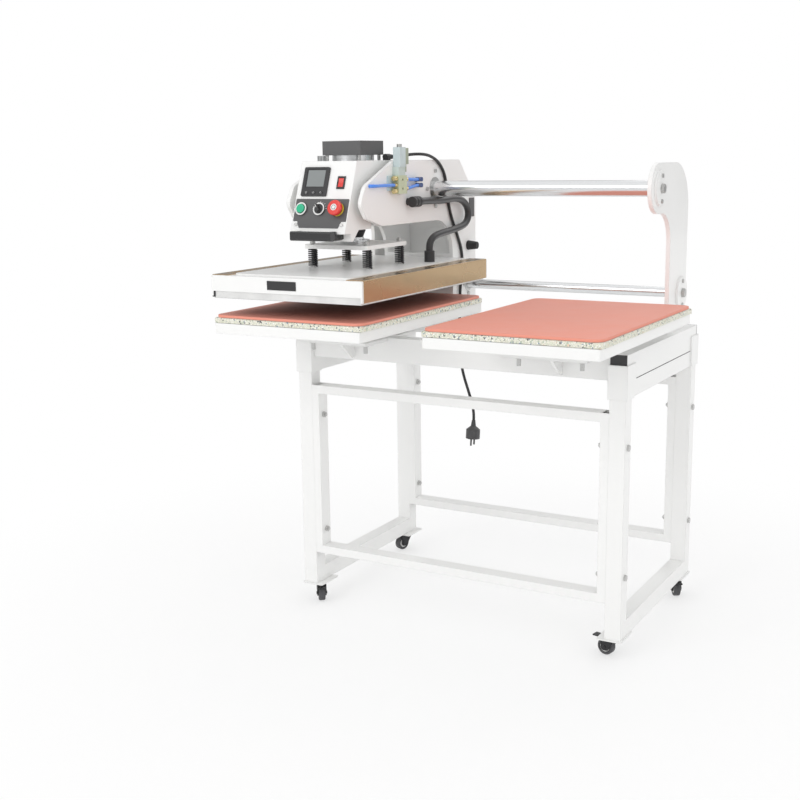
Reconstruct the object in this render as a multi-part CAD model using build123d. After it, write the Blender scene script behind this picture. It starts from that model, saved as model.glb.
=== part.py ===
from build123d import *
import os
from math import cos, pi, radians, sin, sqrt, tan

# Two-station pneumatic heat press on a wheeled stand. Millimetres, +Z up, floor at Z = 0.
# X runs along the two slide shafts, -Y is the side the operator stands on.

# Heights over the floor
pad_top = 787
caster_height = 52
leg_top = pad_top - 135
base_tube_height = 60

# Stand width and stations
stand_half_width = 432
platen_station = stand_half_width - 157
head_station = platen_station - 3
travel = 2 * head_station

# Stand
leg_size = 38
tube_wall = 2
stand_front = -25
stand_back = 507
side_top_rail_height = 39
side_low_rail_height = 40
sleeve_height = 77
sleeve_bottom = leg_top - 40
sleeve_wall = 4
sleeve_chamfer = 12
cross_rail_height = 21
cross_top_rail_z = leg_top - 93
cross_low_rail_z = 137
cross_post_width = 20
leg_bolt_levels = (199, leg_top - 150)
leg_bolt_radius = 4
nut_flats = 13
nut_height = 6.5
bolt_clearance = 0.4

# Base frame
beam_depth = 38
front_beam_y = -15
plug_flange = 3
plug_depth = 18
plug_clearance = 0.3

# Casters
caster_plate_width = 60
caster_plate_length = 80
caster_inset_x = 7
caster_inset_y = 15
caster_plate_thickness = 3
swivel_race_radius = 17
swivel_race_height = 4
swivel_gap = 0.3
wheel_radius = 20
wheel_width = 17
wheel_hub_radius = 11
wheel_side_gap = 1
axle_radius = 4
axle_clearance = 0.05
fork_wall = 2.5
caster_trail = 20
pedal_length = 27
caster_turns = {"front_left": 308, "front_right": 168, "rear_left": 250, "rear_right": 300}

# Lower platens
pad_width = 400
pad_length = 600
pad_thickness = 6
pad_corner = 22
foam_width = pad_width + 10
foam_length = pad_length + 4
foam_thickness = 13
foam_corner = 12
tray_width = foam_width - 14
tray_length = foam_length + 1
tray_height = 24
tray_sheet = 2
bracket_width = 200
bracket_reach = 100
bracket_thickness = 8
gusset_thickness = 8
gusset_reach = 65
gusset_drop = 46
stud_radius = 5
stud_half_spacing = 75
stud_reach = 63
stud_end_z = 681
stud_nut_height = 6
stud_nut_flats = 16

# End plates and shafts
end_plate_inner = stand_half_width - 27
end_plate_thickness = 10
end_plate_front = 315
end_plate_back = 452
end_plate_nose_radius = 58
end_plate_top_radius = 110
end_plate_throat_radius = 70
hub_disc_radius = 40
hub_disc_thickness = 6
hub_bolt_radius = 6
hub_bolt_flats = 19
hub_bolt_head = 7.5
hub_bolt_depth = 25
hub_screw_radius = 3
hub_screw_head_radius = 5
hub_screw_head = 3
hub_screw_offset = 29
upper_shaft_y = 220
upper_shaft_z = pad_top + 275
upper_shaft_radius = 19
lower_shaft_y = 406
lower_shaft_z = pad_top + 17
lower_shaft_radius = 12.5
bearing_clearance = 0.05

# Carriage arm
arm_half_width = 104
arm_plate_thickness = 10
arm_top = pad_top + 346
arm_underside = pad_top + 195
arm_back = 451
arm_column_front = 317
arm_bottom = pad_top - 25
arm_throat_radius = 90
cross_plate_thickness = 10
upper_bearing_radius = 28.5
upper_bearing_length = 74
upper_flange_radius = 54
upper_flange_thickness = 9
upper_screw_circle = 44
lower_bearing_radius = 20
lower_bearing_length = 52
lower_flange_radius = 32
lower_flange_thickness = 8
lower_screw_circle = 26
flange_screw_radius = 3
flange_screw_head_radius = 5
flange_screw_head = 4
bearing_nose = 1
bumper_radius = 13
bumper_tip_radius = 9.5
bumper_y = 406
bumper_z = pad_top + 120
bumper_gap = 0.4

# Console
console_width = 152
console_wall = 2
console_back = 55
console_top = pad_top + 347
console_panel_top_y = -105
console_panel_foot_y = -165
console_toe = 26
console_panel_foot_z = pad_top + 182
console_skirt_z = pad_top + 164
overlay_thickness = 1
overlay_width = 146
overlay_height = 54
overlay_level = -31
overlay_tongue_width = 108
overlay_tongue_height = 16
controller_size = 70
controller_depth = 60
controller_bezel = 4
controller_place = (-27, 37)
switch_width = 21
switch_height = 30
switch_place = (43, 35)
switch_bezel = 2.5
control_row = -29
start_x = -54
selector_x = -4
stop_x = 46
control_collar_radius = 14.5
control_collar_height = 4
button_radius = 10.5
button_height = 8
knob_radius = 11
knob_height = 15
mushroom_radius = 18
mushroom_height = 9
mushroom_stem_radius = 10
stop_stroke = 4
control_clearance = 0.3
handle_half_width = 56
handle_bar_depth = 16
handle_bar_height = 22
handle_reach = 30
handle_arm_width = 16

# Cylinder and press head
cylinder_cap_size = 108
cylinder_cap_height = 33
cylinder_cap_bottom = pad_top + 360
cylinder_foot_height = 22
barrel_radius = 50
barrel_wall = 4
tie_rod_radius = 4
tie_rod_offset = 45
rod_radius = 12.5
rod_clearance = 0.05
piston_thickness = 20
piston_clearance = 0.05
piston_top_gap = 4
pressure_plate_width = 180
pressure_plate_length = 190
pressure_plate_bottom = pad_top + 141
pressure_plate_thickness = 10
rod_flange_radius = 36
rod_flange_height = 8
rod_disc_radius = 22
rod_disc_height = 6
rod_cone_low_radius = 20
rod_cone_top_radius = 27
rod_cone_height = 17
spring_offset_x = 77
spring_offset_y = 76
spring_middle_y = 6
spring_outer_radius = 12
spring_wire = 3.4
spring_turns = 7.5
spring_bolt_radius = 4
spring_bolt_clearance = 0.4
spring_bolt_head = 5.5
spring_bolt_flats = 13
spring_bolt_tip = 4
panel_top = pad_top + 96
platen_underside = pad_top + 40
heating_plate_thickness = 16
cover_width = pad_width + 12
cover_front = -pad_length / 2 - 3
cover_back = pad_length / 2 + 13
cover_top = pad_top + 94
cover_foot = pad_top + 45
cover_sheet = 1.5
cover_wall = 2
side_cover_flange = 46
side_cover_inset = 6
raised_panel_width = cover_width - 2 * side_cover_flange - 4
raised_panel_inset = 26
slot_places = (-232, -84, 69, 229)
slot_length = 30
slot_width = 9

# Conduit
conduit_radius = 9
conduit_x = 122 - head_station
coupling_radius = 13
upper_coupling_y = 68
upper_coupling_length = 36
lower_coupling_y = 155
lower_coupling_height = 28
conduit_route = (
    (conduit_x, upper_coupling_y + upper_coupling_length, pad_top + 247),
    (conduit_x, 160, pad_top + 247),
    (conduit_x, 229, pad_top + 245),
    (conduit_x, 289, pad_top + 249),
    (conduit_x, 337, pad_top + 243),
    (conduit_x, 368, pad_top + 223),
    (conduit_x, 374, pad_top + 197),
    (conduit_x, 353, pad_top + 178),
    (conduit_x, 309, pad_top + 171),
    (conduit_x, 256, pad_top + 166),
    (conduit_x, 213, pad_top + 163),
    (conduit_x, 181, pad_top + 158),
    (conduit_x, 162, pad_top + 148),
    (conduit_x, lower_coupling_y, pad_top + 136),
    (conduit_x, lower_coupling_y, panel_top + lower_coupling_height),
)

# Power cord
cord_radius = 3.75
cord_x = 108.4 - head_station
gland_x = 69 - head_station
gland_y = 33
gland_radius = 7
gland_length = 20
gland_z = console_top + gland_radius + 1
cord_route = (
    (gland_x, gland_y + gland_length, gland_z),
    (gland_x, 74, gland_z),
    (80 - head_station, 102, pad_top + 358),
    (98 - head_station, 130, pad_top + 361),
    (cord_x, 160, pad_top + 360),
    (cord_x, 192, pad_top + 355),
    (cord_x, 226, pad_top + 344),
    (cord_x, 256, pad_top + 322),
    (cord_x, 272, pad_top + 294),
    (cord_x, 283, pad_top + 240),
    (cord_x, 300, pad_top + 200),
    (cord_x, 333, pad_top + 154),
    (cord_x, 362, pad_top + 108),
    (cord_x, 363, pad_top + 55),
    (109 - head_station, 348, pad_top + 5),
    (111 - head_station, 342, pad_top - 50),
    (112 - head_station, 338, pad_top - 105),
    (114 - head_station, 335, pad_top - 160),
    (122 - head_station, 336, pad_top - 215),
    (139 - head_station, 339, pad_top - 268),
    (154 - head_station, 341, pad_top - 318),
    (153 - head_station, 340, pad_top - 344),
)
plug_radius = 19
plug_body = 24
plug_relief = 16
plug_relief_radius = 7
plug_pin_radius = 2.4
plug_pin_length = 19
plug_pin_spacing = 19

# The bounding box of the press without its cord is centred on the origin
press_left = -head_station - cover_width / 2
press_right = platen_station + foam_width / 2
press_front = cover_front
plate_back = stand_back - leg_size / 2 - caster_inset_y + caster_plate_length / 2
press_back = max(stand_back + sleeve_wall, plate_back)
shift_x = -(press_left + press_right) / 2
shift_y = -(press_front + press_back) / 2

# Sizes that follow from the ones above
leg_inner = stand_half_width - leg_size
tube_middle = stand_half_width - leg_size / 2
base_top = leg_top + base_tube_height
arm_right = -head_station + arm_half_width
arm_left = -head_station - arm_half_width
arm_gap_right = arm_right - arm_plate_thickness
arm_gap_left = arm_left + arm_plate_thickness
bumper_length = end_plate_inner - (arm_right + travel) - bumper_gap
foam_top = pad_top - pad_thickness
tray_top = foam_top - foam_thickness
corner_signs = ((-1, -1), (1, -1), (-1, 1), (1, 1))


def block(x0, x1, y0, y1, z0, z1):
    """Box between two opposite corners."""
    middle = Pos((x0 + x1) / 2, (y0 + y1) / 2, (z0 + z1) / 2)
    return middle * Box(abs(x1 - x0), abs(y1 - y0), abs(z1 - z0))


def round_x(x0, x1, y, z, radius):
    """Cylinder along X."""
    return Pos((x0 + x1) / 2, y, z) * Rot(0, 90, 0) * Cylinder(radius, abs(x1 - x0))


def round_y(x, y0, y1, z, radius):
    """Cylinder along Y."""
    return Pos(x, (y0 + y1) / 2, z) * Rot(90, 0, 0) * Cylinder(radius, abs(y1 - y0))


def round_z(x, y, z0, z1, radius):
    """Cylinder along Z."""
    return Pos(x, y, (z0 + z1) / 2) * Cylinder(radius, abs(z1 - z0))


def hexagon(flats, height):
    """Hexagonal prism standing on the XY plane."""
    return extrude(RegularPolygon(flats / sqrt(3), 6), height)


def hex_x(x0, x1, y, z, flats):
    """Hexagonal prism along X."""
    return Pos(min(x0, x1), y, z) * Rot(0, 90, 0) * hexagon(flats, abs(x1 - x0))


def hex_z(x, y, z0, z1, flats):
    """Hexagonal prism along Z."""
    return Pos(x, y, min(z0, z1)) * hexagon(flats, abs(z1 - z0))


def rounded_face(corners):
    """Face from (a, b, radius) corners, each rounded by its own radius."""
    count = len(corners)
    points = [Vector(corner[0], corner[1]) for corner in corners]
    starts = []
    ends = []
    edges = []
    for index in range(count):
        here = points[index]
        inward = (here - points[index - 1]).normalized()
        outward = (points[(index + 1) % count] - here).normalized()
        radius = corners[index][2]
        half_turn = radians(inward.get_angle(outward)) / 2
        start = here - inward * (radius * tan(half_turn))
        end = here + outward * (radius * tan(half_turn))
        starts.append(start)
        ends.append(end)
        if radius:
            bisector = (outward - inward).normalized()
            middle = here + bisector * (radius / cos(half_turn) - radius)
            edges.append(ThreePointArc(start, middle, end))
    for index in range(count):
        end = ends[index - 1]
        start = starts[index]
        if (start - end).length > 0.001:
            edges.append(Line(end, start))
    return make_face(edges)


def plate_yz(corners, x0, x1):
    """Plate across X from (y, z, radius) corners."""
    return extrude(Plane.YZ.offset(min(x0, x1)) * rounded_face(corners), abs(x1 - x0))


def plate_xz(corners, y0, y1):
    """Plate across Y from (x, z, radius) corners."""
    return extrude(Plane.XZ.offset(-max(y0, y1)) * rounded_face(corners), abs(y1 - y0))


def plate_xy(x, y, width, length, radius, z0, z1):
    """Flat plate with rounded corners."""
    outline = rounded_face(
        (
            (x - width / 2, y - length / 2, radius),
            (x + width / 2, y - length / 2, radius),
            (x + width / 2, y + length / 2, radius),
            (x - width / 2, y + length / 2, radius),
        )
    )
    return extrude(Pos(0, 0, min(z0, z1)) * outline, abs(z1 - z0))


def tube_path(points, name):
    """Straight runs joined by tangent arcs as large as the runs allow."""
    vectors = [Vector(*point) for point in points]
    radii = []
    for index in range(1, len(vectors) - 1):
        before = vectors[index] - vectors[index - 1]
        after = vectors[index + 1] - vectors[index]
        turn = radians(before.get_angle(after))
        radii.append(0.45 * min(before.length, after.length) / tan(turn / 2))
    print(name, "least bend radius", round(min(radii), 1), [round(radius) for radius in radii])
    return FilletPolyline(*vectors, radius=radii)


def round_tube(path, radius, name):
    """Tube along a path, with its volume compared with section times length."""
    section = Plane(path @ 0, z_dir=path % 0) * Circle(radius)
    tube = sweep(section, path=path)
    expected = pi * radius**2 * path.length
    print(name, "length", round(path.length, 1), "volume ratio", round(tube.volume / expected, 4))
    return tube


def parts_of(*pieces):
    """Several separate solids in one node."""
    solids = []
    for piece in pieces:
        solids += piece.solids()
    return Compound(solids)


def panel_place(u, v, out=0):
    """Place on the console's sloping panel: u across, v up the slope, out of the panel."""
    rise = console_top - console_panel_foot_z
    run = console_panel_top_y - console_panel_foot_y
    length = sqrt(rise**2 + run**2)
    normal = Vector(0, -rise / length, run / length)
    upward = Vector(0, run / length, rise / length)
    middle_y = (console_panel_top_y + console_panel_foot_y) / 2
    middle_z = (console_top + console_panel_foot_z) / 2
    centre = Vector(-head_station, middle_y, middle_z) + Vector(u, 0, 0) + upward * v + normal * out
    return Plane(origin=centre, x_dir=(1, 0, 0), z_dir=normal).location


# Stand
def side_frame(side):
    """Two legs and two rails of square tube, with the sleeves that hold the base frame."""
    outer = side * stand_half_width
    inner = side * leg_inner
    bore_outer = side * (stand_half_width - tube_wall)
    bore_inner = side * (leg_inner + tube_wall)
    rails = (
        (caster_height, caster_height + side_low_rail_height),
        (leg_top - side_top_rail_height, leg_top),
    )
    frame = None
    for foot in (stand_front, stand_back - leg_size):
        leg = block(outer, inner, foot, foot + leg_size, caster_height, leg_top)
        frame = leg if frame is None else frame + leg
    for low, high in rails:
        frame += block(outer, inner, stand_front, stand_back, low, high)
    for foot in (stand_front, stand_back - leg_size):
        inside = (foot + tube_wall, foot + leg_size - tube_wall)
        frame -= block(bore_outer, bore_inner, *inside, caster_height + tube_wall, leg_top)
    for low, high in rails:
        run = (stand_front + leg_size / 2, stand_back - leg_size / 2)
        frame -= block(bore_outer, bore_inner, *run, low + tube_wall, high - tube_wall)
    for level in leg_bolt_levels:
        for y in leg_middles():
            frame -= round_x(
                side * (leg_inner - 1),
                side * (stand_half_width + 1),
                y,
                level,
                leg_bolt_radius + bolt_clearance,
            )
    sleeves = [corner_sleeve(side, end) for end in (-1, 1)]
    return parts_of(frame, *sleeves)


def leg_middles():
    """Y of the leg centres, front and rear."""
    return (stand_front + leg_size / 2, stand_back - leg_size / 2)


def corner_sleeve(side, end):
    """U-shaped sleeve round a leg's top and the end of the base frame's side tube."""
    tip = stand_front if end < 0 else stand_back
    mouth = tip - end * (leg_size + 15)
    wall = sleeve_wall
    outside = block(
        side * (leg_inner - wall),
        side * (stand_half_width + wall),
        tip + end * wall,
        mouth,
        sleeve_bottom,
        sleeve_bottom + sleeve_height,
    )
    inside = block(
        side * leg_inner,
        side * stand_half_width,
        tip,
        mouth - end * 5,
        sleeve_bottom - 1,
        sleeve_bottom + sleeve_height + 1,
    )
    corner = sleeve_chamfer
    cut = plate_yz(
        (
            (mouth, sleeve_bottom, 0),
            (mouth + end * corner, sleeve_bottom, 0),
            (mouth, sleeve_bottom + corner, 0),
        ),
        side * (leg_inner - wall - 1),
        side * (stand_half_width + wall + 1),
    )
    beam = front_beam_span() if end < 0 else rear_beam_span()
    notch = block(side * (leg_inner - wall - 1), side * leg_inner, *beam, leg_top, base_top)
    return outside - inside - cut - notch


def front_beam_span():
    """Y range of the base frame's front beam."""
    return (front_beam_y, front_beam_y + beam_depth)


def rear_beam_span():
    """Y range of the base frame's rear beam."""
    return (stand_back - plug_flange - beam_depth, stand_back - plug_flange)


def cross_frame(y):
    """H frame between the legs: two rails and two posts of flat tube."""
    depth = leg_size / 2
    low = cross_low_rail_z
    high = cross_top_rail_z + cross_rail_height
    post_inner = leg_inner - cross_post_width
    frame = None
    for side in (-1, 1):
        post = block(side * leg_inner, side * post_inner, y - depth, y + depth, low, high)
        frame = post if frame is None else frame + post
    for level in (cross_low_rail_z, cross_top_rail_z):
        frame += block(-leg_inner, leg_inner, y - depth, y + depth, level, level + cross_rail_height)
    inside = (y - depth + tube_wall, y + depth - tube_wall)
    for side in (-1, 1):
        bore = (side * (leg_inner - tube_wall), side * (post_inner + tube_wall))
        frame -= block(*bore, *inside, low, high)
    for level in (cross_low_rail_z, cross_top_rail_z):
        reach = leg_inner - cross_post_width / 2
        bore = (level + tube_wall, level + cross_rail_height - tube_wall)
        frame -= block(-reach, reach, *inside, *bore)
    for level in leg_bolt_levels:
        for side in (-1, 1):
            frame -= round_x(
                side * (post_inner - 1),
                side * (leg_inner + 1),
                y,
                level,
                leg_bolt_radius + bolt_clearance,
            )
    return frame


def leg_bolts():
    """Hex bolts through legs and posts, with nuts on the posts' inner faces."""
    pieces = []
    post_inner = leg_inner - cross_post_width
    for side in (-1, 1):
        for y in leg_middles():
            for level in leg_bolt_levels:
                head = hex_x(
                    side * stand_half_width, side * (stand_half_width + 5), y, level, nut_flats
                )
                shank_end = post_inner - nut_height - 3
                shank = round_x(side * stand_half_width, side * shank_end, y, level, leg_bolt_radius)
                nut = hex_x(side * post_inner, side * (post_inner - nut_height), y, level, nut_flats)
                pieces.append(head + shank + nut)
    return parts_of(*pieces)


def base_frame():
    """Welded frame of the two side tubes and the front and rear beams."""
    ends = (stand_front + plug_flange, stand_back - plug_flange)
    beams = (front_beam_span(), rear_beam_span())
    frame = None
    for side in (-1, 1):
        tube = block(side * leg_inner, side * stand_half_width, *ends, leg_top, base_top)
        frame = tube if frame is None else frame + tube
    for beam in beams:
        frame += block(-leg_inner, leg_inner, *beam, leg_top, base_top)
    bore = (leg_top + tube_wall, base_top - tube_wall)
    for side in (-1, 1):
        inside = (side * (leg_inner + tube_wall), side * (stand_half_width - tube_wall))
        frame -= block(*inside, *ends, *bore)
    for beam in beams:
        reach = leg_inner + tube_wall + 1
        frame -= block(-reach, reach, beam[0] + tube_wall, beam[1] - tube_wall, *bore)
    return frame


def tube_plugs():
    """Black plugs in the four open ends of the side tubes."""
    pieces = []
    wall = tube_wall + plug_clearance
    for side in (-1, 1):
        for end, tip in ((-1, stand_front), (1, stand_back)):
            flange = block(
                side * leg_inner, side * stand_half_width, tip, tip - end * plug_flange, leg_top, base_top
            )
            core = block(
                side * (leg_inner + wall),
                side * (stand_half_width - wall),
                tip - end * plug_flange,
                tip - end * (plug_flange + plug_depth),
                leg_top + wall,
                base_top - wall,
            )
            pieces.append(flange + core)
    return parts_of(*pieces)


# Casters
def caster_places():
    """Name, X and Y of each caster's swivel axis."""
    front, rear = leg_middles()
    x = tube_middle - caster_inset_x
    return (
        ("front_left", -x, front + caster_inset_y),
        ("front_right", x, front + caster_inset_y),
        ("rear_left", -x, rear - caster_inset_y),
        ("rear_right", x, rear - caster_inset_y),
    )


def caster_plates():
    """Top plate and swivel race of each caster, welded under the legs."""
    pieces = []
    for name, x, y in caster_places():
        bottom = caster_height - caster_plate_thickness
        plate = plate_xy(x, y, caster_plate_width, caster_plate_length, 4, bottom, caster_height)
        race = round_z(x, y, bottom - swivel_race_height, bottom, swivel_race_radius)
        pieces.append(plate + race)
    return parts_of(*pieces)


def caster_fork():
    """Fork with its axle and brake pedal, at the origin and trailing along +X."""
    crown_top = caster_height - caster_plate_thickness - swivel_race_height - swivel_gap
    inner = wheel_width / 2 + wheel_side_gap
    outer = inner + fork_wall
    fork = round_z(0, 0, crown_top - 3, crown_top, swivel_race_radius)
    fork += block(-6, caster_trail + 8, -outer, outer, crown_top - 3, crown_top)
    cheek = (
        (-9, crown_top - 1, 2),
        (caster_trail + 9, crown_top - 1, 2),
        (caster_trail + 9, wheel_radius - 8, 8),
        (caster_trail - 9, wheel_radius - 8, 8),
    )
    for side in (-1, 1):
        fork += plate_xz(cheek, side * inner, side * outer)
    fork += round_y(caster_trail, -outer - 2, outer + 2, wheel_radius, axle_radius)
    pedal_z = crown_top - 5
    pedal = block(caster_trail + 6, caster_trail + 6 + pedal_length, -9, 9, pedal_z, pedal_z + 3)
    pedal += block(caster_trail + 6, caster_trail + 9, -outer, outer, pedal_z, crown_top)
    return fork + pedal


def caster_wheel():
    """Tyred wheel at the origin, its axle along Y at the trail."""
    half = wheel_width / 2
    wheel = round_y(caster_trail, -half, half, wheel_radius, wheel_radius)
    rim = wheel.edges().filter_by(GeomType.CIRCLE)
    wheel = fillet(rim, 3)
    for side in (-1, 1):
        wheel -= round_y(caster_trail, side * (half - 2), side * half, wheel_radius, wheel_radius - 6)
        ring_ends = (side * (half - 2.5), side * half)
        wheel += round_y(caster_trail, *ring_ends, wheel_radius, wheel_hub_radius - 3)
    wheel -= round_y(caster_trail, -half - 1, half + 1, wheel_radius, axle_radius + axle_clearance)
    return wheel


# Lower platens
def both_stations(piece):
    """The same piece at the two stations."""
    return parts_of(Pos(-platen_station, 0, 0) * piece, Pos(platen_station, 0, 0) * piece)


def platen_tray():
    """Folded sheet tray, open below."""
    bottom = tray_top - tray_height
    tray = plate_xy(0, 0, tray_width, tray_length, 3, bottom, tray_top)
    inside = (tray_width / 2 - tray_sheet, tray_length / 2 - tray_sheet)
    tray -= block(-inside[0], inside[0], -inside[1], inside[1], bottom - 1, tray_top - tray_sheet)
    return tray


def stud_places():
    """X and Y of the four levelling studs of one platen."""
    places = []
    for x in (-stud_half_spacing, stud_half_spacing):
        places.append((x, front_beam_y - stud_reach))
        places.append((x, front_beam_y + beam_depth + stud_reach))
    return places


def platen_bracket():
    """Two plates welded to the front and back of the beam, each on a gusset."""
    half = bracket_width / 2
    low = base_top - bracket_thickness
    pieces = []
    for face, way in ((front_beam_y, -1), (front_beam_y + beam_depth, 1)):
        tip = face + way * bracket_reach
        plate = plate_xy(0, (face + tip) / 2, 2 * half, bracket_reach, 0, low, base_top)
        gusset = plate_yz(
            (
                (face, low, 0),
                (face, low - gusset_drop, 0),
                (face + way * 12, low - gusset_drop, 0),
                (face + way * gusset_reach, low, 0),
            ),
            -gusset_thickness / 2,
            gusset_thickness / 2,
        )
        bracket = plate + gusset
        for x, y in stud_places():
            bracket -= round_z(x, y, low - 1, base_top + 1, stud_radius + bolt_clearance)
        pieces.append(bracket)
    return parts_of(*pieces)


def levelling_studs():
    """Threaded studs under a tray, each with a nut over and under its bracket."""
    pieces = []
    low = base_top - bracket_thickness
    for x, y in stud_places():
        stud = round_z(x, y, stud_end_z, tray_top - tray_sheet, stud_radius)
        stud += hex_z(x, y, base_top, base_top + stud_nut_height, stud_nut_flats)
        stud += hex_z(x, y, low - stud_nut_height, low, stud_nut_flats)
        pieces.append(stud)
    return parts_of(*pieces)


# End plates and shafts
def end_plate(side):
    """Profiled plate that holds both shafts, with a welded disc at each shaft."""
    nose = end_plate_nose_radius
    low = upper_shaft_z - nose
    high = upper_shaft_z + nose
    corners = (
        (end_plate_front, base_top, 0),
        (end_plate_front, low, end_plate_throat_radius),
        (upper_shaft_y - nose, low, nose - 0.01),
        (upper_shaft_y - nose, high, nose - 0.01),
        (end_plate_back, high, end_plate_top_radius),
        (end_plate_back, base_top, 0),
    )
    inner = side * end_plate_inner
    outer = side * (end_plate_inner + end_plate_thickness)
    disc_face = side * (end_plate_inner + end_plate_thickness + hub_disc_thickness)
    plate = plate_yz(corners, inner, outer)
    for y, z in ((upper_shaft_y, upper_shaft_z), (lower_shaft_y, lower_shaft_z)):
        plate += round_x(outer, disc_face, y, z, hub_disc_radius)
        plate -= round_x(inner, disc_face, y, z, hub_bolt_radius)
        for offset in (-hub_screw_offset, hub_screw_offset):
            plate -= round_x(inner, disc_face, y, z + offset, hub_screw_radius)
    return plate


def shaft(y, z, radius):
    """Ground shaft between the end plates, bored at both ends for its bolt."""
    bar = round_x(-end_plate_inner, end_plate_inner, y, z, radius)
    for side in (-1, 1):
        bar -= round_x(
            side * (end_plate_inner - hub_bolt_depth), side * end_plate_inner, y, z, hub_bolt_radius
        )
    return bar


def hub_bolts():
    """Centre bolt and two screws of each shaft disc."""
    pieces = []
    for side in (-1, 1):
        face = end_plate_inner + end_plate_thickness + hub_disc_thickness
        for y, z in ((upper_shaft_y, upper_shaft_z), (lower_shaft_y, lower_shaft_z)):
            tip = end_plate_inner - hub_bolt_depth
            bolt = round_x(side * face, side * tip, y, z, hub_bolt_radius)
            bolt += round_x(side * face, side * (face + 1), y, z, hub_bolt_flats / 2 + 2)
            bolt += hex_x(side * (face + 1), side * (face + hub_bolt_head), y, z, hub_bolt_flats)
            pieces.append(bolt)
            for offset in (-hub_screw_offset, hub_screw_offset):
                screw = round_x(side * face, side * end_plate_inner, y, z + offset, hub_screw_radius)
                head = (side * face, side * (face + hub_screw_head))
                screw += round_x(*head, y, z + offset, hub_screw_head_radius)
                pieces.append(screw)
    return parts_of(*pieces)


# Carriage
def bearing_sites():
    """Y, Z and the sizes of the upper and lower linear bearings."""
    upper = (
        upper_shaft_y,
        upper_shaft_z,
        upper_shaft_radius,
        upper_bearing_radius,
        upper_bearing_length,
        upper_flange_radius,
        upper_flange_thickness,
        upper_screw_circle,
    )
    lower = (
        lower_shaft_y,
        lower_shaft_z,
        lower_shaft_radius,
        lower_bearing_radius,
        lower_bearing_length,
        lower_flange_radius,
        lower_flange_thickness,
        lower_screw_circle,
    )
    return (upper, lower)


def arm_sides():
    """Outer face, inner face and inward direction of the two arm plates."""
    return ((arm_right, arm_gap_right, -1), (arm_left, arm_gap_left, 1))


def screw_ring(circle):
    """Four screw positions, top, bottom, front and back."""
    return ((0, circle), (0, -circle), (circle, 0), (-circle, 0))


def arm_plates():
    """The two profiled plates of the arm."""
    corners = (
        (arm_column_front, arm_bottom, 8),
        (arm_column_front, arm_underside, arm_throat_radius),
        (-44, arm_underside, 40),
        (-112, pad_top + 214, 18),
        (-139, pad_top + 248, 18),
        (-116, pad_top + 289, 25),
        (15, arm_top, 40),
        (356, arm_top, 12),
        (arm_back, pad_top + 245, 12),
        (arm_back, arm_bottom, 8),
    )
    pieces = []
    for outer, inner, way in arm_sides():
        plate = plate_yz(corners, outer, inner)
        for y, z, shaft_r, body, length, flange, thickness, circle in bearing_sites():
            plate -= round_x(outer, inner, y, z, body)
            for across, up in screw_ring(circle):
                plate -= round_x(outer, inner, y + across, z + up, flange_screw_radius)
        pieces.append(plate)
    return parts_of(*pieces)


def arm_cross_plates():
    """Plates welded between the two arm plates."""
    left = arm_gap_left
    right = arm_gap_right
    thick = cross_plate_thickness
    top = block(left, right, console_back + 3, 348, arm_top - thick, arm_top)
    bottom = block(left, right, -40, 205, arm_underside, arm_underside + thick)
    bottom -= round_z(-head_station, 0, arm_underside - 1, arm_underside + thick + 1, rod_radius + 1.5)
    back = block(left, right, arm_back - thick, arm_back, arm_bottom + 8, pad_top + 232)
    front = block(
        left, right, arm_column_front, arm_column_front + thick, arm_bottom + 8, arm_underside - 92
    )
    return parts_of(top, bottom, back, front)


def bearing_housings():
    """Flanged linear bearings, two on each shaft."""
    pieces = []
    for outer, inner, way in arm_sides():
        for y, z, shaft_r, body, length, flange, thickness, circle in bearing_sites():
            nose = outer - way * bearing_nose
            housing = round_x(nose, outer + way * length, y, z, body)
            housing += round_x(inner, inner + way * thickness, y, z, flange)
            bore = (nose - way, outer + way * (length + 1))
            housing -= round_x(*bore, y, z, shaft_r + bearing_clearance)
            for across, up in screw_ring(circle):
                hole = (inner, inner + way * thickness)
                housing -= round_x(*hole, y + across, z + up, flange_screw_radius)
            pieces.append(housing)
    return parts_of(*pieces)


def carriage_screws():
    """Bearing flange screws and the screws on the console panel."""
    pieces = []
    for outer, inner, way in arm_sides():
        for y, z, shaft_r, body, length, flange, thickness, circle in bearing_sites():
            for across, up in screw_ring(circle):
                tip = inner + way * thickness
                screw = round_x(outer, tip, y + across, z + up, flange_screw_radius)
                head = (outer, outer - way * flange_screw_head)
                screw += round_x(*head, y + across, z + up, flange_screw_head_radius)
                pieces.append(screw)
    for u in (-overlay_width / 2 + 10, overlay_width / 2 - 10):
        spot = panel_place(u, overlay_level - overlay_height / 2 - 8)
        pieces.append(spot * Pos(0, 0, 1.5) * Cylinder(4, 3))
    return parts_of(*pieces)


def console_outline(inset):
    """Side profile of the console housing, moved inwards by a wall."""
    slope = inset * 1.07
    return (
        (console_panel_top_y + slope, console_top - inset, 0),
        (console_panel_foot_y + slope * 1.34, console_panel_foot_z + inset, 0),
        (console_panel_foot_y + console_toe + inset, console_panel_foot_z + inset, 0),
        (console_panel_foot_y + console_toe + inset, console_skirt_z - inset * 2, 0),
        (console_panel_foot_y + console_toe + 9 - inset, console_skirt_z - inset * 2, 0),
        (-104 - inset, arm_underside - 6 - inset * 4, 0),
        (-48, arm_underside - 6 - inset * 4, 0),
        (-48, arm_underside + cross_plate_thickness, 0),
        (console_back + inset * 2, arm_underside + cross_plate_thickness, 0),
        (console_back + inset * 2, console_top - inset, 0),
    )


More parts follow.
